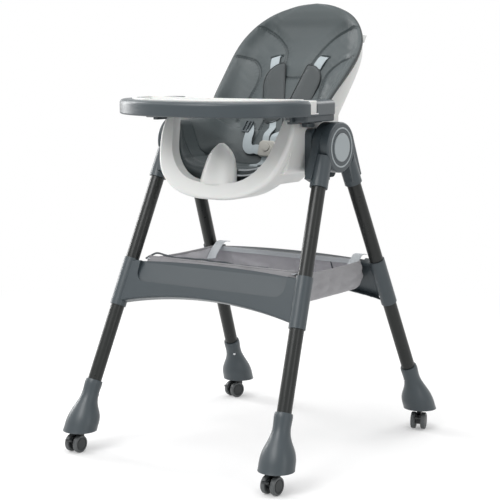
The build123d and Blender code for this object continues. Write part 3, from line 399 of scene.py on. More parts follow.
# finishes by the record's slots
finishes = {
    "slate_plastic": skinMaterial("slateShell", moulded, tone(60, 69, 74), {"Gloss": 0.38, "Grain": 1500},
                                  (0.10, 0.25), Specular_IOR_Level=0.5, Coat_Weight=0.08, Coat_Roughness=0.3),
    "pale_plastic": skinMaterial("paleShell", moulded, tone(226, 227, 225), {"Gloss": 0.34, "Drift": 0.03},
                                 (0.06, 0.2), Subsurface_Weight=0.06, Subsurface_Scale=0.004),
    "light_grey_plastic": skinMaterial("hubTrim", moulded, tone(164, 172, 175),
                                       {"Gloss": 0.38, "Drift": 0.05}, (0.08, 0.2)),
    "tube_metal": skinMaterial("coatedTube", moulded, tone(27, 30, 29), {"Gloss": 0.30, "Grain": 2600},
                               (0.14, 0.22), Specular_IOR_Level=0.38),
    "pad_leather": skinMaterial("padLeather", leather, tone(72, 81, 83), {"Cell": 760, "Gloss": 0.46},
                                (0.22, 0.35), Specular_IOR_Level=0.45, Sheen_Weight=0.05),
    "webbing": skinMaterial("strapWebbing", woven, tone(178, 188, 192), {"Along": 420, "Across": 360},
                            (0.5, 0.5), coordinate="UV", Sheen_Weight=0.1),
    "basket_fabric": skinMaterial("basketCloth", woven, tone(166, 165, 168), {"Along": 900, "Across": 900},
                                  (0.28, 0.3), coordinate="UV", Sheen_Weight=0.12),
    "buckle_plastic": skinMaterial("buckleShell", moulded, tone(184, 182, 175), {"Gloss": 0.38}, (0.08, 0.2)),
    "black_plastic": skinMaterial("blackShell", moulded, tone(38, 41, 42), {"Gloss": 0.42}, (0.12, 0.25)),
    "bright_steel": skinMaterial("brightPin", moulded, tone(196, 198, 200), {"Gloss": 0.24, "Drift": 0.04},
                                 (0.03, 0.1), Metallic=1.0),
}
leatherDeep = skinMaterial("strapLeather", leather, tone(56, 63, 65), {"Cell": 820, "Gloss": 0.5},
                           (0.22, 0.35), Specular_IOR_Level=0.45, Sheen_Weight=0.05)
leatherDark = skinMaterial("padBinding", leather, tone(46, 52, 54), {"Cell": 900, "Gloss": 0.5}, (0.2, 0.3))
seamThread = skinMaterial("seamThread", woven, tone(50, 55, 58), {"Along": 900, "Across": 900}, (0.3, 0.2))
hemPale = skinMaterial("basketHem", woven, tone(214, 219, 223), {"Along": 700, "Across": 700}, (0.3, 0.3),
                       coordinate="UV")
hemDark = skinMaterial("basketCord", woven, tone(88, 94, 98), {"Along": 500, "Across": 500}, (0.3, 0.3),
                       coordinate="UV")
# paler copy of the basket cloth for the bag's inner faces: painted light standing in for the light that comes
# through the thin cloth and into the bag
bagInsidePaintedLight = skinMaterial("basketInsidePaintedLight", woven, tone(216, 215, 219), {"Along": 900, "Across": 900},
                         (0.28, 0.3), coordinate="UV", Sheen_Weight=0.12)
tagPale = skinMaterial("blankTag", woven, tone(204, 206, 204), {"Along": 1200, "Across": 1200}, (0.2, 0.2),
                       coordinate="UV")


# grey tyre outside a black hub: the mask is the distance from the axle in the caster's own turned frame
wheelLook = {"tyre": tone(84, 87, 88), "hub": tone(40, 44, 45), "edge": 15.1, "axleHeight": 20, "trail": 14}


def wheelMaterial(name, stem, turn):
    material = skinMaterial(name, moulded, wheelLook["tyre"], {"Gloss": 0.5, "Drift": 0.06}, (0.15, 0.3))
    tree = material.node_tree
    axle = Vector((0, -wheelLook["trail"] * mm, wheelLook["axleHeight"] * mm))
    axle = Matrix.Rotation(turn, 3, "Z") @ axle + Vector((stem.x, stem.y, 0))
    where = addNode(tree, "ShaderNodeTexCoord")
    place = addNode(tree, "ShaderNodeMapping", vector_type="TEXTURE")
    place.inputs["Location"].default_value = axle
    place.inputs["Rotation"].default_value = (0, 0, turn)
    tree.links.new(where.outputs["Object"], place.inputs["Vector"])
    split = addNode(tree, "ShaderNodeSeparateXYZ")
    tree.links.new(place.outputs["Vector"], split.inputs[0])
    square = [mathNode(tree, "MULTIPLY", split.outputs[k], split.outputs[k]) for k in (1, 2)]
    radius = mathNode(tree, "SQRT", mathNode(tree, "ADD", *square))
    mask = mathNode(tree, "GREATER_THAN", radius, wheelLook["edge"] * mm)
    skin = next(node for node in tree.nodes if node.type == "GROUP")
    tree.links.new(mixColours(tree, mask, wheelLook["hub"], wheelLook["tyre"]), skin.inputs["Tone"])
    return material


# every CAD node takes the finish of its slot
slotOf = {part["node"]: part["material_slot"] for part in frame["record"]["subparts"]}
for name, node in nodes.items():
    material = finishes.get(slotOf.get(name), finishes["slate_plastic"])
    if name.startswith("caster_wheels_"):
        corner = name.removeprefix("caster_wheels_")
        low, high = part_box(name)
        stem = next(j["pos_m"] for j in frame["joints"] if j["name"] == "swivel_" + corner)
        centre = (low + high) / 2
        turn = math.atan2(centre.x - stem[0], stem[1] - centre.y)
        material = wheelMaterial("wheel_" + corner, Vector(stem), turn)
    node.data.materials.clear()
    node.data.materials.append(material)
print("finishes set on", len(nodes), "nodes")


# the backrest's own frame: x across, v up the back, w out of it, all in millimetres
backFrame = {"origin": (0, 40, 660), "lean": 33}
lean = math.radians(backFrame["lean"])
backUp = np.array([0, math.sin(lean), math.cos(lean)])
backOut = np.array([0, -math.cos(lean), math.sin(lean)])


# origin plus x across, v times the way up and w times the way out
def backPoint(x, v, w):
    x, v, w = np.broadcast_arrays(*(np.asarray(value, float) for value in (x, v, w)))
    along = np.stack([x, np.zeros_like(x), np.zeros_like(x)], -1)
    return np.array(backFrame["origin"]) + along + v[..., None] * backUp + w[..., None] * backOut


# distance from each point of a grid to a drawn line, and how far along that line the nearest spot is
def lineDistance(a, b, line):
    best = np.full(a.shape, 1e9)
    along = np.zeros(a.shape)
    run = 0
    for start, end in zip(line[:-1], line[1:]):
        step = end - start
        length = math.hypot(*step)
        t = np.clip(((a - start[0]) * step[0] + (b - start[1]) * step[1]) / length**2, 0, 1)
        gap = np.hypot(a - start[0] - t * step[0], b - start[1] - t * step[1])
        nearer = gap < best
        best = np.where(nearer, gap, best)
        along = np.where(nearer, run + t * length, along)
        run += length
    return best, along


# a sewn seam: a narrow valley, with small puckers that die away on both sides of it
def seamRelief(a, b, line, depth, width, pucker):
    gap, along = lineDistance(a, b, curveThrough(line, 40))
    valley = -depth * np.exp(-(gap / width) ** 2)
    ripple = np.sin(along * 2 * math.pi / 13) + 0.6 * np.sin(along * 2 * math.pi / 7.3 + 1)
    return valley + pucker * ripple * np.exp(-gap / 8) * smoothStep(gap, 0.5, 4), gap


backPad = {
    "outline": ((139, 27), (148, 48), (157, 90), (164, 140), (169.5, 190), (174, 240), (175.5, 275),
                (172.5, 302), (162, 331), (142, 361), (115, 386), (79, 406), (40, 420), (0, 427)),
    # v, rim height, height of the middle, height of the underside
    "heights": ((27, 71.9, 5.4, -1.6), (48, 71.4, 5.4, -10.6), (90, 68.4, 6, -13.6), (140, 59.9, 6.2, -13.6),
                (190, 48.4, 5.8, -13.6), (240, 37.4, 3.6, -13.6), (275, 30.4, -1, -13.6),
                (302, 26.4, -6, -13.6), (331, 23.9, -7.5, -13.6), (361, 22.4, -2, -11.6),
                (386, 20.6, 9.5, -5.6), (406, 19.2, 16.5, 1.4), (420, 16.5, 16.5, 8), (427, 12, 12, 11)),
    "rows": 250, "across": 211, "roll": 6.5, "lip": 11, "tuck": 9, "wall": (6, 23, 2.2),
    "tulip": ((162, 345), (144, 352), (116, 354), (90, 344), (67, 325), (52, 305), (43.5, 283), (38.5, 257),
              (34, 224), (31, 187), (31, 140), (36, 90), (46, 34)),
    "tulipShift": (-7, 290, 345),
    "wing": ((178, 258), (164, 263), (146, 268), (130, 268), (112, 256), (98, 236), (92, 214), (92, 196),
             (96, 170), (101, 130), (104, 88)),
    "cross": ((-34, 222), (0, 219), (34, 222)),
    # depth, width and pucker of the long seams and of the short one across
    "seam": (4.2, 2.0, 0.55), "crossSeam": (3.0, 1.8, 0.3),
    "puff": 3.2, "soft": 0.55, "wrinkle": 0.8,
    "slot": (69, 281, 31, 6, 9),
    "strapIn": {-1: 60, 1: 30}, "strapDrop": 181,
}


# turn of a shoulder strap about the back's normal, inwards towards the buckle
def strapTurn(side):
    return -side * math.atan2(backPad["strapIn"][side], backPad["strapDrop"])


# point of a shoulder strap: across it, down it from its slot, and out of the back
def strapPoint(side, across, down, w):
    turn = strapTurn(side)
    slotX, slotV = backPad["slot"][:2]
    x = side * slotX + across * math.cos(turn) + down * math.sin(turn)
    v = slotV + across * math.sin(turn) - down * math.cos(turn)
    return backPoint(x, v, w)


# rim, middle and underside of the pad at height v, smooth between the table's rows
def padHeights(v):
    table = np.array(backPad["heights"])
    return smoothThrough(table[:, 1:], table[:, 0], v)


# a seam on one side of the pad; the two tulip seams lean a little to the left at the head
def seamLine(name, side):
    line = np.array(backPad[name]) * (side, 1)
    if name == "tulip":
        shift, low, high = backPad["tulipShift"]
        line[:, 0] += shift * smoothStep(line[:, 1], low, high)
    return line


# front of the pad at (x, v): a dished middle, a rim that rises near the edge, seams and soft puffs
def padFront(x, v, half):
    rim, middle, _ = padHeights(v.ravel()).T.reshape(3, *v.shape)
    size = np.minimum(1, half / 150)
    inset = np.maximum(half - np.abs(x), 0) / np.maximum(size, 0.05)
    near, wide, steep = backPad["wall"]
    rise = 1 / (1 + (np.maximum(inset - near, 0) / wide) ** steep)
    w = middle + (rim - middle) * rise
    roll = backPad["roll"]
    edge = np.clip(roll - np.maximum(half - np.abs(x), 0), 0, roll)
    w -= (roll - np.sqrt(np.maximum(roll**2 - edge**2, 0))) * smoothStep(half, 4, 60)
    gaps = np.full(x.shape, 1e9)
    fade = smoothStep(half - np.abs(x), 2, 9)
    for side in (-1, 1):
        for name in ("tulip", "wing"):
            relief, gap = seamRelief(x, v, seamLine(name, side), *backPad["seam"])
            w += relief * fade
            gaps = np.minimum(gaps, gap)
    relief, gap = seamRelief(x, v, np.array(backPad["cross"]), *backPad["crossSeam"])
    w += relief
    gaps = np.minimum(gaps, gap)
    w += backPad["puff"] * smoothStep(gaps, 0, 26) * smoothStep(half - np.abs(x), 4, 40)
    w += backPad["soft"] * softWaves(x, v, 70, 3) * fade
    wrinkles = softWaves(x + 0.6 * v, 0.5 * v, 24, 5) * smoothStep(np.abs(x), 60, 105)
    w += backPad["wrinkle"] * wrinkles * fade
    for side in (-1, 1):
        slotX, slotV, wide, tall, deep = backPad["slot"]
        turn = strapTurn(side)
        across = (x - side * slotX) * math.cos(turn) + (v - slotV) * math.sin(turn)
        up = -(x - side * slotX) * math.sin(turn) + (v - slotV) * math.cos(turn)
        inside = smoothStep(wide / 2 + 1.5 - np.abs(across), 0, 2.5)
        w -= deep * inside * smoothStep(tall / 2 + 1.5 - np.abs(up), 0, 2.5)
    return w


# the pad as closed rings up the outline: across the front, over the rim, down the side and under
def makeBackPad():
    line = curveThrough(backPad["outline"], backPad["rows"])[:-1]
    half, v = line[:, 0:1], line[:, 1:2]
    t = np.linspace(-1, 1, backPad["across"])[None, :]
    spread = np.sin(t * math.pi / 2) * 0.35 + t * 0.65
    x = half * spread
    vv = np.broadcast_to(v, x.shape)
    front = padFront(x, vv, np.broadcast_to(half, x.shape))
    rim, _, under = padHeights(v.ravel()).T[..., None]
    neck = np.maximum(rim - backPad["lip"] - 2, under + 1)
    size = np.minimum(1, half / 150)
    tuck = backPad["tuck"] * size
    right = ((half - 0.3 * size, rim - backPad["roll"] - 1.5), (half - 1.2 * size, neck + 4 * size),
             (half - 3.2 * size, neck + 1.5 * size), (half - tuck, neck),
             (half - tuck - 5 * size, under + (neck - under) * 0.35), (half - tuck - 14 * size, under + 1),
             (half * 0.6, under))
    sides = [np.concatenate([sign * part for part, _ in row], 1)
             for sign, row in ((1, right), (-1, right[::-1]))]
    lows = [np.concatenate([np.minimum(w, rim) for _, w in row], 1) for row in (right, right[::-1])]
    ringX = np.concatenate([x, sides[0], sides[1]], 1)
    ringW = np.concatenate([front, lows[0], lows[1]], 1)
    ringV = np.broadcast_to(v, ringX.shape)
    points = backPoint(ringX, ringV, ringW).reshape(-1, 3)
    rows, columns = ringX.shape
    top = backPoint(0, backPad["outline"][-1][1], 12).reshape(1, 3)
    faces = gridFaces(rows, columns, False, True).tolist() + fanFaces(rows, columns)
    faces.append(list(range(columns))[::-1])  # the foot, one flat face as thin as the pad
    piece = makePiece("backPad", np.concatenate([points, top]), faces, finishes["pad_leather"])
    return dress(piece, "backrest", "pad_leather", "back_pad")


makeBackPad()
print("back pad made")


# thread bars in rows: each stitch is a short pinched tube set on the surface along a line
stitch = {"length": 4.2, "gap": 2.0, "radius": 0.42, "beside": 3.4}


def stitchPiece(name, lines, body):
    sets = []
    for path, out in lines:
        run = runAlong(path)
        starts = np.arange(0, run[-1] - stitch["length"], stitch["length"] + stitch["gap"])
        at = starts[:, None] + np.array((0, 0.2, 0.8, 1)) * stitch["length"]
        centre = spotsAt(at, run, path)
        up = spotsAt(at, run, out)
        ahead = centre[:, 3:] - centre[:, :1]
        side = unit(np.cross(np.broadcast_to(ahead, up.shape), up))
        thick = stitch["radius"] * np.array((0.4, 1, 1, 0.4))[None, :, None, None]
        centre = centre + up * stitch["radius"] * np.array((-0.5, 0.5, 0.5, -0.5))[None, :, None]
        turn = np.arange(6) * math.pi / 3
        ring = np.cos(turn)[:, None] * side[:, :, None] + np.sin(turn)[:, None] * up[:, :, None]
        sets.append(centre[:, :, None] + ring * thick)
    points = np.concatenate(sets)
    one = gridFaces(4, 6, False, True)
    first = 24 * np.arange(len(points))[:, None]
    faces = (one[None] + first[..., None]).reshape(-1, 4).tolist()
    faces += np.concatenate([np.arange(6)[::-1] + first, np.arange(18, 24) + first]).tolist()
    piece = makePiece(name, points, faces, seamThread)
    return dress(piece, body, "pad_leather")


# half width of the pad at height v, straight between the outline's points
def padHalf(v):
    outline = np.array(backPad["outline"])
    return np.interp(v, outline[:, 1], outline[:, 0])


# points of the pad's front and the way out of it, beside a line drawn in x and v
def alongPad(line, beside):
    line = curveThrough(line, 260)
    run = unit(np.gradient(line, axis=0))
    x, v = (line + beside * run[:, ::-1] * (1, -1)).T
    keep = np.abs(x) < padHalf(v) - 9
    x, v = x[keep], v[keep]
    w = padFront(x, v, padHalf(v))
    slopeX = padFront(x + 1, v, padHalf(v)) - w
    slopeV = padFront(x, v + 1, padHalf(v + 1)) - w
    out = backOut[None] - slopeX[:, None] * np.array([1, 0, 0]) - slopeV[:, None] * backUp
    return backPoint(x, v, w), unit(out)


# a row of stitches on both sides of each of the pad's seams
def makePadStitches():
    lines = []
    for beside in (-stitch["beside"], stitch["beside"]):
        lines.append(alongPad(np.array(backPad["cross"]), beside))
        for side in (-1, 1):
            for name in ("tulip", "wing"):
                lines.append(alongPad(seamLine(name, side), beside))
    stitchPiece("backStitches", lines, "backrest")


makePadStitches()


# thin piping sewn round the rim of the back pad
piping = {"radius": 1.9, "inset": 1.2, "drop": 3.2, "count": 220}


# the outline on both sides, drawn in a little and laid just under the rim
def rimLine(count, inset, drop):
    right = curveThrough(backPad["outline"], count)
    right = right[right[:, 1] > 30]
    both = np.concatenate([right, right[::-1][1:] * (-1, 1)])
    rim = padHeights(both[:, 1])[:, 0]
    x = both[:, 0] - np.sign(both[:, 0]) * inset * np.minimum(1, np.abs(both[:, 0]) / 20)
    return backPoint(x, both[:, 1] - inset * smoothStep(both[:, 1], 380, 420), rim - drop)


# a round section carried along the rim
def makePiping():
    path = rimLine(piping["count"], piping["inset"], piping["drop"])
    piece = sweepPiece("backPiping", path, backOut, roundSection(piping["radius"], 8), leatherDark)
    return dress(piece, "backrest", "pad_leather")


makePiping()


seatPad = {
    # half of the upper profile from the middle out to the top of the side bolster: x, z
    "top": ((0, 649.5), (28, 649.9), (56, 651), (88, 655.5), (112, 665), (126, 681), (136, 700), (147, 730),
            (152, 744), (158, 751), (164, 752)),
    "outer": ((170, 746), (170.6, 730), (170.6, 690), (169, 668), (160, 653.5), (146, 648.5)),
    "base": ((126, 647.5), (112, 630), (98, 622), (50, 620.5), (0, 620.5)),
    "ringPlane": (-159, 640, 0.41), "ringDepth": 27.5,
    "rearLow": 34, "rearHigh": -22, "rearFrom": 652, "rearTo": 684,
    "post": ((617, -146, 52, 25), (635, -140.5, 46, 23.5), (651, -136.5, 42.5, 22), (667, -133.5, 38, 20),
             (682, -131.5, 31.5, 17), (694, -130, 22, 12.5), (702, -129.7, 13, 8), (707, -129.5, 5, 3.5)),
    "postClear": 2.5, "nose": 11, "rows": 130,
    "seams": (-84, -30), "sideSeam": (117, 668), "seamDepth": 3.4, "sideDepth": 2.6, "seamWidth": 2.0,
}


# the cushion's cross section, a closed ring, carried from the front ring back to the seat's rear
def makeSeatPad():
    upper = curveThrough(seatPad["top"], 70)
    outer = np.concatenate([curveThrough(seatPad["outer"], 22), curveThrough(seatPad["base"], 26)])
    half = np.concatenate([upper, outer])
    left = half[1:-1][::-1] * (-1, 1)
    ring = np.concatenate([half, left])
    isTop = np.repeat((1.0, 0.0, 1.0), (len(upper), 2 * len(outer) - 1, len(upper) - 1))
    x, z = ring[:, 0], ring[:, 1]
    planeY, planeZ, slope = seatPad["ringPlane"]
    front = planeY + (z - planeZ) * slope + seatPad["ringDepth"]
    post = np.array(seatPad["post"])
    centre, wide, deep = smoothThrough(post[:, 1:], post[:, 0], z).T
    inside = np.clip(1 - (x / (wide + seatPad["postClear"])) ** 2, 0, 1)
    behind = centre + (deep + seatPad["postClear"]) * np.sqrt(inside)
    front = np.where((inside > 0) & (z < post[-1, 0]), np.maximum(front, behind), front)
    high = smoothStep(z, seatPad["rearFrom"], seatPad["rearTo"])
    rear = seatPad["rearLow"] + (seatPad["rearHigh"] - seatPad["rearLow"]) * high
    t = np.linspace(0, 1, seatPad["rows"])
    t = (0.5 - 0.5 * np.cos(t * math.pi)) * 0.5 + t * 0.5
    y = front[None] + t[:, None] * (rear - front)[None]
    reach = np.minimum(y - front[None], rear[None] - y)
    nose = seatPad["nose"]
    drop = nose - np.sqrt(np.maximum(nose**2 - np.clip(nose - reach, 0, nose) ** 2, 0))
    slopeX, slopeZ = np.gradient(x), np.gradient(z)
    size = np.hypot(slopeX, slopeZ) + 1e-9
    outX, outZ = -slopeZ / size, slopeX / size
    relief = -drop * isTop[None] * 0.8
    alongTop = np.cumsum(size)
    for seamY in seatPad["seams"]:
        valley = np.exp(-((y - seamY) / seatPad["seamWidth"]) ** 2)
        relief = relief - isTop[None] * seatPad["seamDepth"] * valley
    for side in (-1, 1):
        gap = np.hypot(x - side * seatPad["sideSeam"][0], z - seatPad["sideSeam"][1])
        relief = relief - isTop * seatPad["sideDepth"] * np.exp(-(gap / seatPad["seamWidth"]) ** 2)[None]
    waves = softWaves(np.broadcast_to(alongTop[None], y.shape), y, 60, 8)
    relief = relief + isTop[None] * 0.5 * waves * smoothStep(reach, 3, 15)
    xx = x[None] + outX[None] * relief
    zz = z[None] + outZ[None] * relief
    points = np.stack([xx, y, zz], -1)
    piece = makePiece("seatPad", points, tubeFaces(*y.shape), finishes["pad_leather"])
    return dress(piece, "front_frame", "pad_leather", "seat_pad")


makeSeatPad()


# pale double trim sewn along the cushion's front edge, from the post to the side of the right leg opening
seatTrim = {"upper": ((43, 648.2), (66, 649.6), (91, 654.2), (108, 661.2), (118, 670.5)),
            "lower": ((44, 637), (62, 638), (80, 641), (97, 648.5)), "radius": (2.6, 1.9),
            "sink": {"upper": 3.0, "lower": 0.6}}


# oval sections along two lines on the slanted plane of the cushion's front
def makeSeatTrim():
    planeY, planeZ, slope = seatPad["ringPlane"]
    for line in ("upper", "lower"):
        x, z = curveThrough(seatTrim[line], 60).T
        y = planeY + (z - planeZ) * slope + seatPad["ringDepth"] + seatTrim["sink"][line]
        section = roundSection(1, 10) * seatTrim["radius"]
        piece = sweepPiece("seatTrim" + line.title(), np.stack([x, y, z], 1), (0, 1, 0), section, hemPale)
        dress(piece, "front_frame", "webbing")


makeSeatTrim()
print("seat pad made")


# leather gusset over the hinge: from inside the cushion's rear top up to the back pad's foot, then on over it
gusset = {"half": 166, "foot": 0.823, "narrow": 0.9, "web": (0.84, 0.98), "across": 81, "rows": (16, 14),
          "ahead": 20, "clear": 20, "footV": 27.5, "up": 72, "sink": 1.2, "lift": 1.8, "thick": 1.6,
          "wrinkle": 1.2, "turn": (13, 7.2)}


# straight rows from the cushion to the pad's foot, then rows that lie on the pad's front;
# towards both sides those rows turn back into one straight web from the cushion to the top row
def makeGusset():
    x = np.linspace(-1, 1, gusset["across"]) * gusset["half"]
    profile = curveThrough(seatPad["top"], 200)
    z = np.interp(np.abs(x), profile[:, 0], profile[:, 1])
    high = smoothStep(z, seatPad["rearFrom"], seatPad["rearTo"])
    rear = seatPad["rearLow"] + (seatPad["rearHigh"] - seatPad["rearLow"]) * high
    share = np.linspace(0, 1, gusset["rows"][1])[:, None]
    v = gusset["footV"] + (gusset["up"] - gusset["footV"]) * share + 0 * x
    over = x * (gusset["foot"] + (gusset["narrow"] - gusset["foot"]) * share)
    lying = backPoint(over, v, padFront(over, v, padHalf(v)) + gusset["lift"])
    startY = np.minimum(rear - gusset["ahead"], lying[0, :, 1] - gusset["clear"])
    start = np.stack([x, startY, z - gusset["sink"]], 1)
    straight = start + (lying[-1] - start) * (0.5 + 0.5 * share[..., None])
    lying += (straight - lying) * smoothStep(np.abs(x) / gusset["half"], *gusset["web"])[:, None]
    t = np.linspace(0, 1, gusset["rows"][0])[:-1, None, None]
    rising = start + (lying[0] - start) * t
    crumple = softWaves(rising[..., 0], 60 * t[..., 0] + 0 * x, 40, 12) * np.sin(math.pi * t[..., 0])
    rising += gusset["wrinkle"] * crumple[..., None] * backOut
    points = np.concatenate([rising, lying])
    faces = gridFaces(*points.shape[:2])
    piece = makePiece("seatGusset", points, faces, finishes["pad_leather"], fixNormals=False)
    wall = piece.modifiers.new("Leather", "SOLIDIFY")
    wall.thickness = gusset["thick"] * mm
    wall.offset = 0
    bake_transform(piece)


makeGusset()
print("gusset made")


shoulderPad = {"top": 33, "low": 195, "wide": 58, "thick": 9.2, "w": 11.9, "rise": -0.01, "rows": 90,
               "across": 29, "leaf": 60, "tip": -0.62, "tail": 34, "tailShare": 0.62, "corner": 6,
               "binding": (1.4, 2.7)}


# reach of a shoulder pad's two edges from the strap's line: the inner one is straight from its tip,
# the outer one swings out from that tip like a leaf, and both draw in at the foot
def shoulderEdges(down):
    top, low = shoulderPad["top"], shoulderPad["low"]
    corner = shoulderPad["corner"]
    half = shoulderPad["wide"] / 2
    tail, tip = shoulderPad["tailShare"], shoulderPad["tip"]
    foot = tail + (1 - tail) * smoothStep(low - down, -4, shoulderPad["tail"])
    end = np.clip((low - down) / corner, 0, 1)
    trim = corner * (1 - np.sqrt(1 - (1 - end) ** 2))
    swing = np.clip((down - top) / shoulderPad["leaf"], 0, 1)
    outer = half * (tip + (1 - tip) * np.sqrt(1 - (1 - swing) ** 2.4)) * foot - trim
    start = np.clip((down - top) / corner, 0, 1)
    inner = half * foot * (0.78 + 0.22 * np.sqrt(1 - (1 - start) ** 2)) - trim
    return outer, inner


# crowned sleeve over the strap, thinnest at its bound edge
def makeShoulderPad(side, label):
    t = np.linspace(0.002, 1, shoulderPad["rows"])
    down = shoulderPad["top"] + (shoulderPad["low"] - shoulderPad["top"]) * t
    outer, inner = shoulderEdges(down)
    a = np.linspace(-1, 1, shoulderPad["across"])
    ring = np.concatenate([a, a[1:-1][::-1]])
    front = np.concatenate([np.ones(len(a)), -np.ones(len(a) - 2)])
    middle, half = side * (outer - inner) / 2, (outer + inner) / 2
    across = middle[:, None] + half[:, None] * ring[None]
    ends = smoothStep(half, 2, 22) * smoothStep(1.03 - t, 0, 0.10)
    crown = (1 - np.abs(ring[None]) ** 2.4) ** 0.6 * ends[:, None]
    dd = np.broadcast_to(down[:, None], across.shape)
    ripple = 0.35 * softWaves(across, dd, 34, 20 + side) * crown
    level = shoulderPad["w"] + shoulderPad["rise"] * dd
    w = level + front[None] * (shoulderPad["thick"] / 2) * crown + ripple
    points = strapPoint(side, across, dd, w)
    piece = makePiece("shoulderPad" + label, points, tubeFaces(*across.shape), leatherDeep)
    subdivide(piece, 1)
    dress(piece, "backrest", "pad_leather", "shoulder_pads")
    edge = np.concatenate([np.stack([side * outer, down], 1), np.stack([-side * inner, down], 1)[::-1]])
    line = curveThrough(np.concatenate([edge, edge[:1]]), 200)[:-1]
    path = strapPoint(side, line[:, 0], line[:, 1], shoulderPad["w"] + shoulderPad["rise"] * line[:, 1])
    thin, tall = shoulderPad["binding"]
    section = roundSection(1, 10) * (tall, thin)
    bound = sweepPiece("shoulderBinding" + label, path, backOut, section, leatherDark, closed=True)
    return dress(bound, "backrest", "pad_leather")


web = {"wide": 24, "thick": 1.6, "buckleAt": (14, 30, 685), "buckleTilt": 20, "narrow": 18,
       "overPad": (-8, 0, 12), "shoulderEnd": ((10.8, 30), (10, 16)), "waistEnd": ((34, -1), (20, -4)),
       "waist": ((112, 83, 9), (92, 80, 12.6), (66, 76, 13.6)),
       "slack": {-1: ((-57, 59, 721), (-55, 47, 703), (-49, 38, 689), (-36, 32, 682)), 1: ()}}


# the way across a shoulder strap, turned in the plane of the back
def strapAcross(side):
    turn = strapTurn(side)
    return np.array([math.cos(turn), 0, 0]) + math.sin(turn) * backUp


# webbing that comes out of the slot, bends over and goes down under the shoulder pad
def makeShoulderWeb(side, label):
    bend = np.array(((0, -14), (0, -6), (0.4, -1), (2.6, 3.6), (8, 6.6), (18, 9.4), (27, 11), (40, 11.4)))
    line = curveThrough(bend, 40)
    path = strapPoint(side, 0, line[:, 0], line[:, 1])
    section = webSection(web["wide"], web["thick"])
    piece = sweepPiece("shoulderWeb" + label, path, strapAcross(side), section, finishes["webbing"])
    return dress(piece, "backrest", "webbing", "shoulder_webbing")


# a point of the buckle's tilted face: across it and up it from its middle
def bucklePoint(across, up):
    x, y, z = web["buckleAt"]
    turn = math.radians(web["buckleTilt"])
    return np.array([x + across, y + up * math.sin(turn), z + up * math.cos(turn)])


# harness webbing from below the shoulder pads and from the back's waist to the buckle, baked in place
def makeHarness(side, label):
    points = []
    for past in web["overPad"]:
        down = shoulderPad["low"] + past
        points.append(strapPoint(side, 0, down, shoulderPad["w"] + shoulderPad["rise"] * down))
    points += [bucklePoint(side * across, up) for across, up in web["shoulderEnd"]]
    path = curveThrough(points, 50)
    section = webSection(web["narrow"], web["thick"])
    shoulder = sweepPiece("harnessShoulder" + label, path, (1, 0, 0), section, finishes["webbing"])
    points = [backPoint(side * x, v, w) for x, v, w in web["waist"]]
    points += [np.array(point, float) for point in web["slack"][side]]
    points += [bucklePoint(side * across, up) for across, up in web["waistEnd"]]
    waistPath = curveThrough(points, 80)
    faced = np.cross(backOut, np.gradient(waistPath, axis=0))
    section = webSection(web["wide"], web["thick"])
    waist = sweepPiece("harnessWaist" + label, waistPath, faced, section, finishes["webbing"])
    for piece, line in ((shoulder, path), (waist, waistPath)):
        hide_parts("harness_webbing")
        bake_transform(piece)


# crotch strap from under the buckle, down on to the cushion and into its slot
crotchStrap = {"path": ((14, 24.4, 669), (14, 19.5, 658.5), (14, 8, 653), (14, -12, 651.8), (14, -25, 651.2),
                        (14, -30.5, 648.5), (14, -32, 643))}


# flat webbing carried along the strap's path
def makeCrotchStrap():
    path = curveThrough(crotchStrap["path"], 60)
    section = webSection(web["wide"], web["thick"])
    piece = sweepPiece("crotchStrap", path, (1, 0, 0), section, finishes["webbing"])
    dress(piece, "front_frame", "webbing", "crotch_strap")


for side, label in ((-1, "Left"), (1, "Right")):
    makeShoulderPad(side, label)
    makeShoulderWeb(side, label)
    makeHarness(side, label)
makeCrotchStrap()
print("harness made")


basket = {"topZ": 428, "lowZ": 357, "front": -142, "rear": 133, "half": 215, "draw": 15, "spread": 28,
          "corner": (24, 34), "around": 240, "wallRows": 30, "floorRows": 22, "floorRun": 150, "bulge": 5,
          "footFrom": 0.78, "turn": 17, "frontLift": 8, "sag": 3, "thick": 1.5,
          # height and length of the upright folds, the slanting pulls, the crumples and the floor's waves
          "folds": (2.6, 61), "pulls": (5.0, 80), "crumple": (2.4, 30), "floorWaves": (2.2, 120)}


# rounded rectangle by its arc length, starting at the middle of the right side
def basketLoop(half, front, rear, corner, count):
    turn = np.linspace(0, math.pi / 2, 9)
    corners = []
    for k, (cx, cy) in enumerate(((half, rear), (-half, rear), (-half, front), (half, front))):
        sx, sy = math.copysign(1, cx), 1 if cy == rear else -1
        centre = np.array([cx - sx * corner, cy - sy * corner])
        start = k * math.pi / 2
        corners.append(centre + corner * np.stack([np.cos(turn + start), np.sin(turn + start)], 1))
    loop = np.concatenate([[(half, (front + rear) / 2)], *corners, [(half, (front + rear) / 2)]])
    run = runAlong(loop)
    even = np.linspace(0, run[-1], count + 1)[:-1]
    return spotsAt(even, run, loop), even


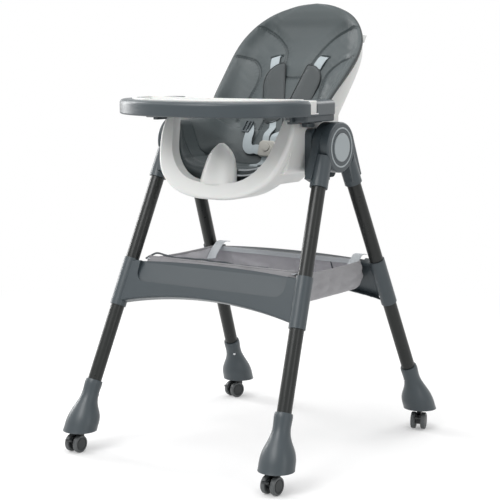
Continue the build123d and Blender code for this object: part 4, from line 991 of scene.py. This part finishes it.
# a sewn bag: walls that bulge and crease between the bars, a rounded foot, a floor that hangs a little
def makeBasket():
    rows = []
    count = basket["around"]
    deep = basket["topZ"] - basket["lowZ"]
    shares = np.linspace(0, 1, basket["wallRows"])
    lengths = []
    for share in shares:
        belly = basket["bulge"] * math.sin(math.pi * min(1, share * 1.1))
        low = max(0, (share - basket["footFrom"]) / (1 - basket["footFrom"]))
        foot = basket["turn"] * (1 - math.sqrt(max(0, 1 - low**2)))
        out = belly - foot
        loop, even = basketLoop(basket["half"] - basket["draw"] * share + out,
                                basket["front"] - basket["spread"] * share - out,
                                basket["rear"] + basket["spread"] * share + out,
                                np.interp(share, (0, 1), basket["corner"]), count)
        z = np.full(count, basket["topZ"] - deep * share)
        rows.append(np.stack([loop[:, 0], loop[:, 1], z], 1))
        lengths.append(np.full(count, deep * share))
    base = rows[-1]
    centre = base.mean(0)
    for share in np.linspace(1, 0, basket["floorRows"] + 1)[1:-1]:
        row = centre + (base - centre) * share
        row[:, 2] = basket["lowZ"] - basket["sag"] * (1 - share**2)
        rows.append(row)
        lengths.append(np.full(count, deep + basket["floorRun"] * (1 - share)))
    points = np.stack(rows)
    along = np.broadcast_to(even[None], points.shape[:2])
    down = np.stack(lengths)
    share = np.clip(down / deep, 0, 1)
    points = crease(points, along, down, share)
    faces = gridFaces(len(points), count, False, True).tolist() + fanFaces(len(points), count)
    tip = np.array([[centre[0], centre[1], basket["lowZ"] - basket["sag"]]])
    uv = np.concatenate([np.stack([along, down], -1).reshape(-1, 2), [[0, deep + basket["floorRun"]]]])
    cloth = np.concatenate([points.reshape(-1, 3), tip])
    # the bag's inner faces take the paler copy, painted light; the shell that the solidify adds takes the basket
    # cloth
    piece = makePiece("basketBag", cloth, faces, bagInsidePaintedLight, uv, fixNormals=False)
    piece.data.materials.append(finishes["basket_fabric"])
    wall = piece.modifiers.new("Cloth", "SOLIDIFY")
    wall.thickness = basket["thick"] * mm
    wall.offset = 0
    wall.material_offset = 1
    subdivide(piece, 1)
    return piece, points


# soft upright folds, slanting pulls towards the corners and small crumples, moved out of the wall
def crease(points, along, down, share):
    centre = np.array([0, (basket["front"] + basket["rear"]) / 2, 0])
    out = points - centre
    out[..., 2] = 0
    straight = np.abs(points[..., 0]) > basket["half"] - 40
    out = np.where(straight[..., None], out * (1, 0.15, 0), out * (0.15, 1, 0))
    out = unit(out)
    hang = np.sin(np.pi * np.clip(share, 0, 1)) ** 0.7
    high, length = basket["folds"]
    push = high * np.sin(along * 2 * math.pi / length + 0.012 * down * np.sin(along / 40))
    high, length = basket["pulls"]
    push += high * softWaves(along + 0.9 * down, down * 1.7, length, 5)
    high, length = basket["crumple"]
    push += high * softWaves(along - 0.5 * down, down * 1.3, length, 6)
    moved = points + out * (push * hang)[..., None]
    deep = basket["topZ"] - basket["lowZ"]
    high, length = basket["floorWaves"]
    waves = high * softWaves(points[..., 0], points[..., 1], length, 7) + 0.5
    moved[..., 2] += smoothStep(down, deep, deep + 30) * waves
    rim = 1 - smoothStep(share, 0, 0.55)
    front = smoothStep(-points[..., 1], 100, 140)
    back = (points[..., 1] - basket["front"]) / (basket["rear"] - basket["front"])
    dip = np.sin(np.pi * np.clip(back, 0, 1))
    moved[..., 2] += rim * (basket["frontLift"] * front - 3.0 * dip * straight)
    return moved


# soft pieces between the legs ride on the front frame, each with a mesh of its own
def foldAway(piece):
    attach(piece, "front_frame")
    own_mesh(piece)


basketPiece, basketGrid = makeBasket()
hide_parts("basket")


# hems: cloth round the whole rim, a pale facing along the rear wall, a dark cord along the front edge
hem = {"radius": (1.5, 3.0), "facing": 11, "cord": (1.3, 2.2), "frontY": -138.5,
       "frontLine": ((-216, 429), (-201, 437), (-182, 446), (-156, 441.5), (-122, 439.5), (-64, 441),
                     (-8, 440), (69, 437), (118, 437.5), (160, 434.5), (191, 431.5), (212, 428.5))}


# oval sections along the bag's rim and its front edge, a flat strip along its rear wall
def makeHems():
    rim = basketGrid[0]
    pieces = [sweepPiece("basketRim", rim, (0, 0, 1), roundSection(1, 10) * hem["radius"][::-1],
                         finishes["basket_fabric"], closed=True)]
    rear = rim[rim[:, 1] > basket["rear"] - 2]
    rear = rear[np.argsort(rear[:, 0])] + (0, -2.2, -4)
    pieces.append(sweepPiece("basketFacing", rear, (0, 0, 1), webSection(hem["facing"], 1.2), hemPale))
    x, z = curveThrough(hem["frontLine"], 120).T
    front = np.stack([x, hem["frontY"] + 1.2 * np.sin(x / 13), z + 0.7 * np.sin(x / 9)], 1)
    section = roundSection(1, 10) * hem["cord"][::-1]
    pieces.append(sweepPiece("basketCord", front, (0, 0, 1), section, hemDark))
    for piece in pieces:
        foldAway(piece)
    return pieces


hemPieces = makeHems()
foldAway(basketPiece)


# four webbing straps over the crossbars' top corners, down into the bag along its sides
bagStrap = {"wide": 25, "rear": ((197, 156, 439.6), (197, 144, 441.4), (197.5, 134, 440), (198, 124, 433.5),
                                 (198, 111, 423), (197, 98, 411), (195, 90, 403)),
            "front": ((193, -143.5, 431), (198, -128, 433), (205, -112, 431), (210, -98, 429.4))}


# flat webbing along each strap's path, mirrored for the other side
def makeBasketStraps():
    for side, sideLabel in ((-1, "Left"), (1, "Right")):
        for end, endLabel, across in (("front", "Front", (1, -0.5, 0)), ("rear", "Rear", (1, 0, 0))):
            path = curveThrough(np.array(bagStrap[end]) * (side, 1, 1), 36)
            piece = sweepPiece("basketStrap" + endLabel + sideLabel, path, (across[0], across[1] * side, 0),
                               webSection(bagStrap["wide"], web["thick"]), hemPale)
            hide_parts("basket_straps")
            foldAway(piece)


makeBasketStraps()
print("basket made")


# blank sewn tag, a folded strip caught in the pad's right edge
tag = {"v": 320, "tall": 20, "out": 7, "thick": 1.1}


# a flat strip carried out of the rim, bowed a little
def makeTag():
    v = tag["v"]
    half = padHalf(v)
    rim = padHeights([v])[0, 0]
    start = backPoint(half - 3, v, rim - 6)
    finish = backPoint(half + tag["out"], v, rim - 7.5)
    path = curveThrough([start, (start + finish) / 2 + backOut * 0.8, finish], 12)
    piece = sweepPiece("padTag", path, backUp, webSection(tag["tall"], tag["thick"]), tagPale)
    return dress(piece, "backrest", "pad_leather")


makeTag()


# stage: pale floor, soft boxes, a surround that the camera and mirrors see as plain white
stage = {"size": 40, "floor": 0.8, "glow": 0.2, "world": 0.5, "clear": (0.9, 2.2),
         "lamps": (("keyBox", (-0.3, -2.7, 2.7), (0, 0, 0.6), (1.7, 1.2), 48),
                   ("sheenBox", (-1.7, -1.6, 2.5), (0, 0, 0.6), (0.9, 0.9), 6),
                   ("leftBox", (-3.0, 0.2, 1.5), (0, 0, 0.6), (0.8, 2.0), 46),
                   ("fillBox", (2.9, -1.0, 1.2), (0, 0, 0.6), (0.7, 1.8), 8),
                   ("topBox", (0.0, 0.0, 3.2), (0, 0, 0.5), (2.0, 2.0), 34),
                   ("rearBox", (0.6, 2.8, 1.9), (0, 0, 0.6), (1.6, 1.4), 20))}


# one for rays of the camera, of mirrors and of glass, else nought
def rayMask(tree):
    rays = addNode(tree, "ShaderNodeLightPath")
    seen = mathNode(tree, "MAXIMUM", rays.outputs["Is Camera Ray"], rays.outputs["Is Glossy Ray"])
    return mathNode(tree, "MAXIMUM", seen, rays.outputs["Is Transmission Ray"])


# the floor takes the shadow near the chair and fades into plain white away from it
def makeFloor():
    half = stage["size"] / 2 / mm
    corner = np.array([(-half, -half, 0), (half, -half, 0), (half, half, 0), (-half, half, 0)])
    material = bpy.data.materials.new("paleFloor")
    material.use_nodes = True
    tree = material.node_tree
    tree.nodes.clear()
    matte = addNode(tree, "ShaderNodeBsdfDiffuse", {"Color": (stage["floor"],) * 3 + (1,)})
    glow = addNode(tree, "ShaderNodeEmission", {"Color": (1, 1, 1, 1)})
    white = addNode(tree, "ShaderNodeEmission", {"Color": (1, 1, 1, 1), "Strength": 1.0})
    seen = rayMask(tree)
    tree.links.new(mathNode(tree, "MULTIPLY", seen, stage["glow"]), glow.inputs["Strength"])
    both = addNode(tree, "ShaderNodeAddShader")
    tree.links.new(matte.outputs[0], both.inputs[0])
    tree.links.new(glow.outputs[0], both.inputs[1])
    where = addNode(tree, "ShaderNodeTexCoord")
    reach = addNode(tree, "ShaderNodeVectorMath", operation="LENGTH")
    tree.links.new(where.outputs["Object"], reach.inputs[0])
    fade = addNode(tree, "ShaderNodeMapRange", {"From Min": stage["clear"][0], "From Max": stage["clear"][1]},
                   interpolation_type="SMOOTHSTEP")
    tree.links.new(reach.outputs["Value"], fade.inputs["Value"])
    mixed = addNode(tree, "ShaderNodeMixShader")
    tree.links.new(mathNode(tree, "MULTIPLY", seen, fade.outputs["Result"]), mixed.inputs[0])
    tree.links.new(both.outputs[0], mixed.inputs[1])
    tree.links.new(white.outputs[0], mixed.inputs[2])
    leave = addNode(tree, "ShaderNodeOutputMaterial")
    tree.links.new(mixed.outputs[0], leave.inputs["Surface"])
    floor = makePiece("stageFloor", corner, [(0, 1, 2, 3)], material, smooth=False, fixNormals=False)


# plain white for the rays of the mask, the lower strength for all other light
def makeWorld():
    world = bpy.data.worlds.new("studio")
    bpy.context.scene.world = world
    world.use_nodes = True
    tree = world.node_tree
    back = tree.nodes["Background"]
    back.inputs["Color"].default_value = (1, 1, 1, 1)
    extra = mathNode(tree, "MULTIPLY", rayMask(tree), 1 - stage["world"])
    tree.links.new(mathNode(tree, "ADD", extra, stage["world"]), back.inputs["Strength"])


# each soft box is a rectangle that faces its aim
def makeLamps():
    for name, place, aim, size, power in stage["lamps"]:
        lamp = bpy.data.lights.new(name, "AREA")
        lamp.shape = "RECTANGLE"
        lamp.size, lamp.size_y = size
        lamp.energy = power
        holder = bpy.data.objects.new(name, lamp)
        holder.location = place
        holder.rotation_euler = (Vector(aim) - Vector(place)).to_track_quat("-Z", "Y").to_euler()
        bpy.context.scene.collection.objects.link(holder)


# camera at the photograph's place: bearing and height from the fit, focal length in a 500 wide frame's pixels
shot = {"place": (1.8280, -2.6235, 0.9101), "bearing": 35.083, "down": 8.168, "focal": 1385.58, "wide": 500}


# level but for its tilt down, turned to its bearing
def makeCamera():
    camera = bpy.data.cameras.new("photoCamera")
    camera.sensor_width = 36
    camera.sensor_fit = "HORIZONTAL"
    camera.lens = shot["focal"] * camera.sensor_width / shot["wide"]
    holder = bpy.data.objects.new("photoCamera", camera)
    holder.location = shot["place"]
    holder.rotation_euler = (math.radians(90 - shot["down"]), 0, math.radians(shot["bearing"]))
    bpy.context.scene.collection.objects.link(holder)
    bpy.context.scene.camera = holder


makeFloor()
makeWorld()
makeLamps()
makeCamera()
bpy.context.scene.view_settings.view_transform = "Standard"
print("stage set")
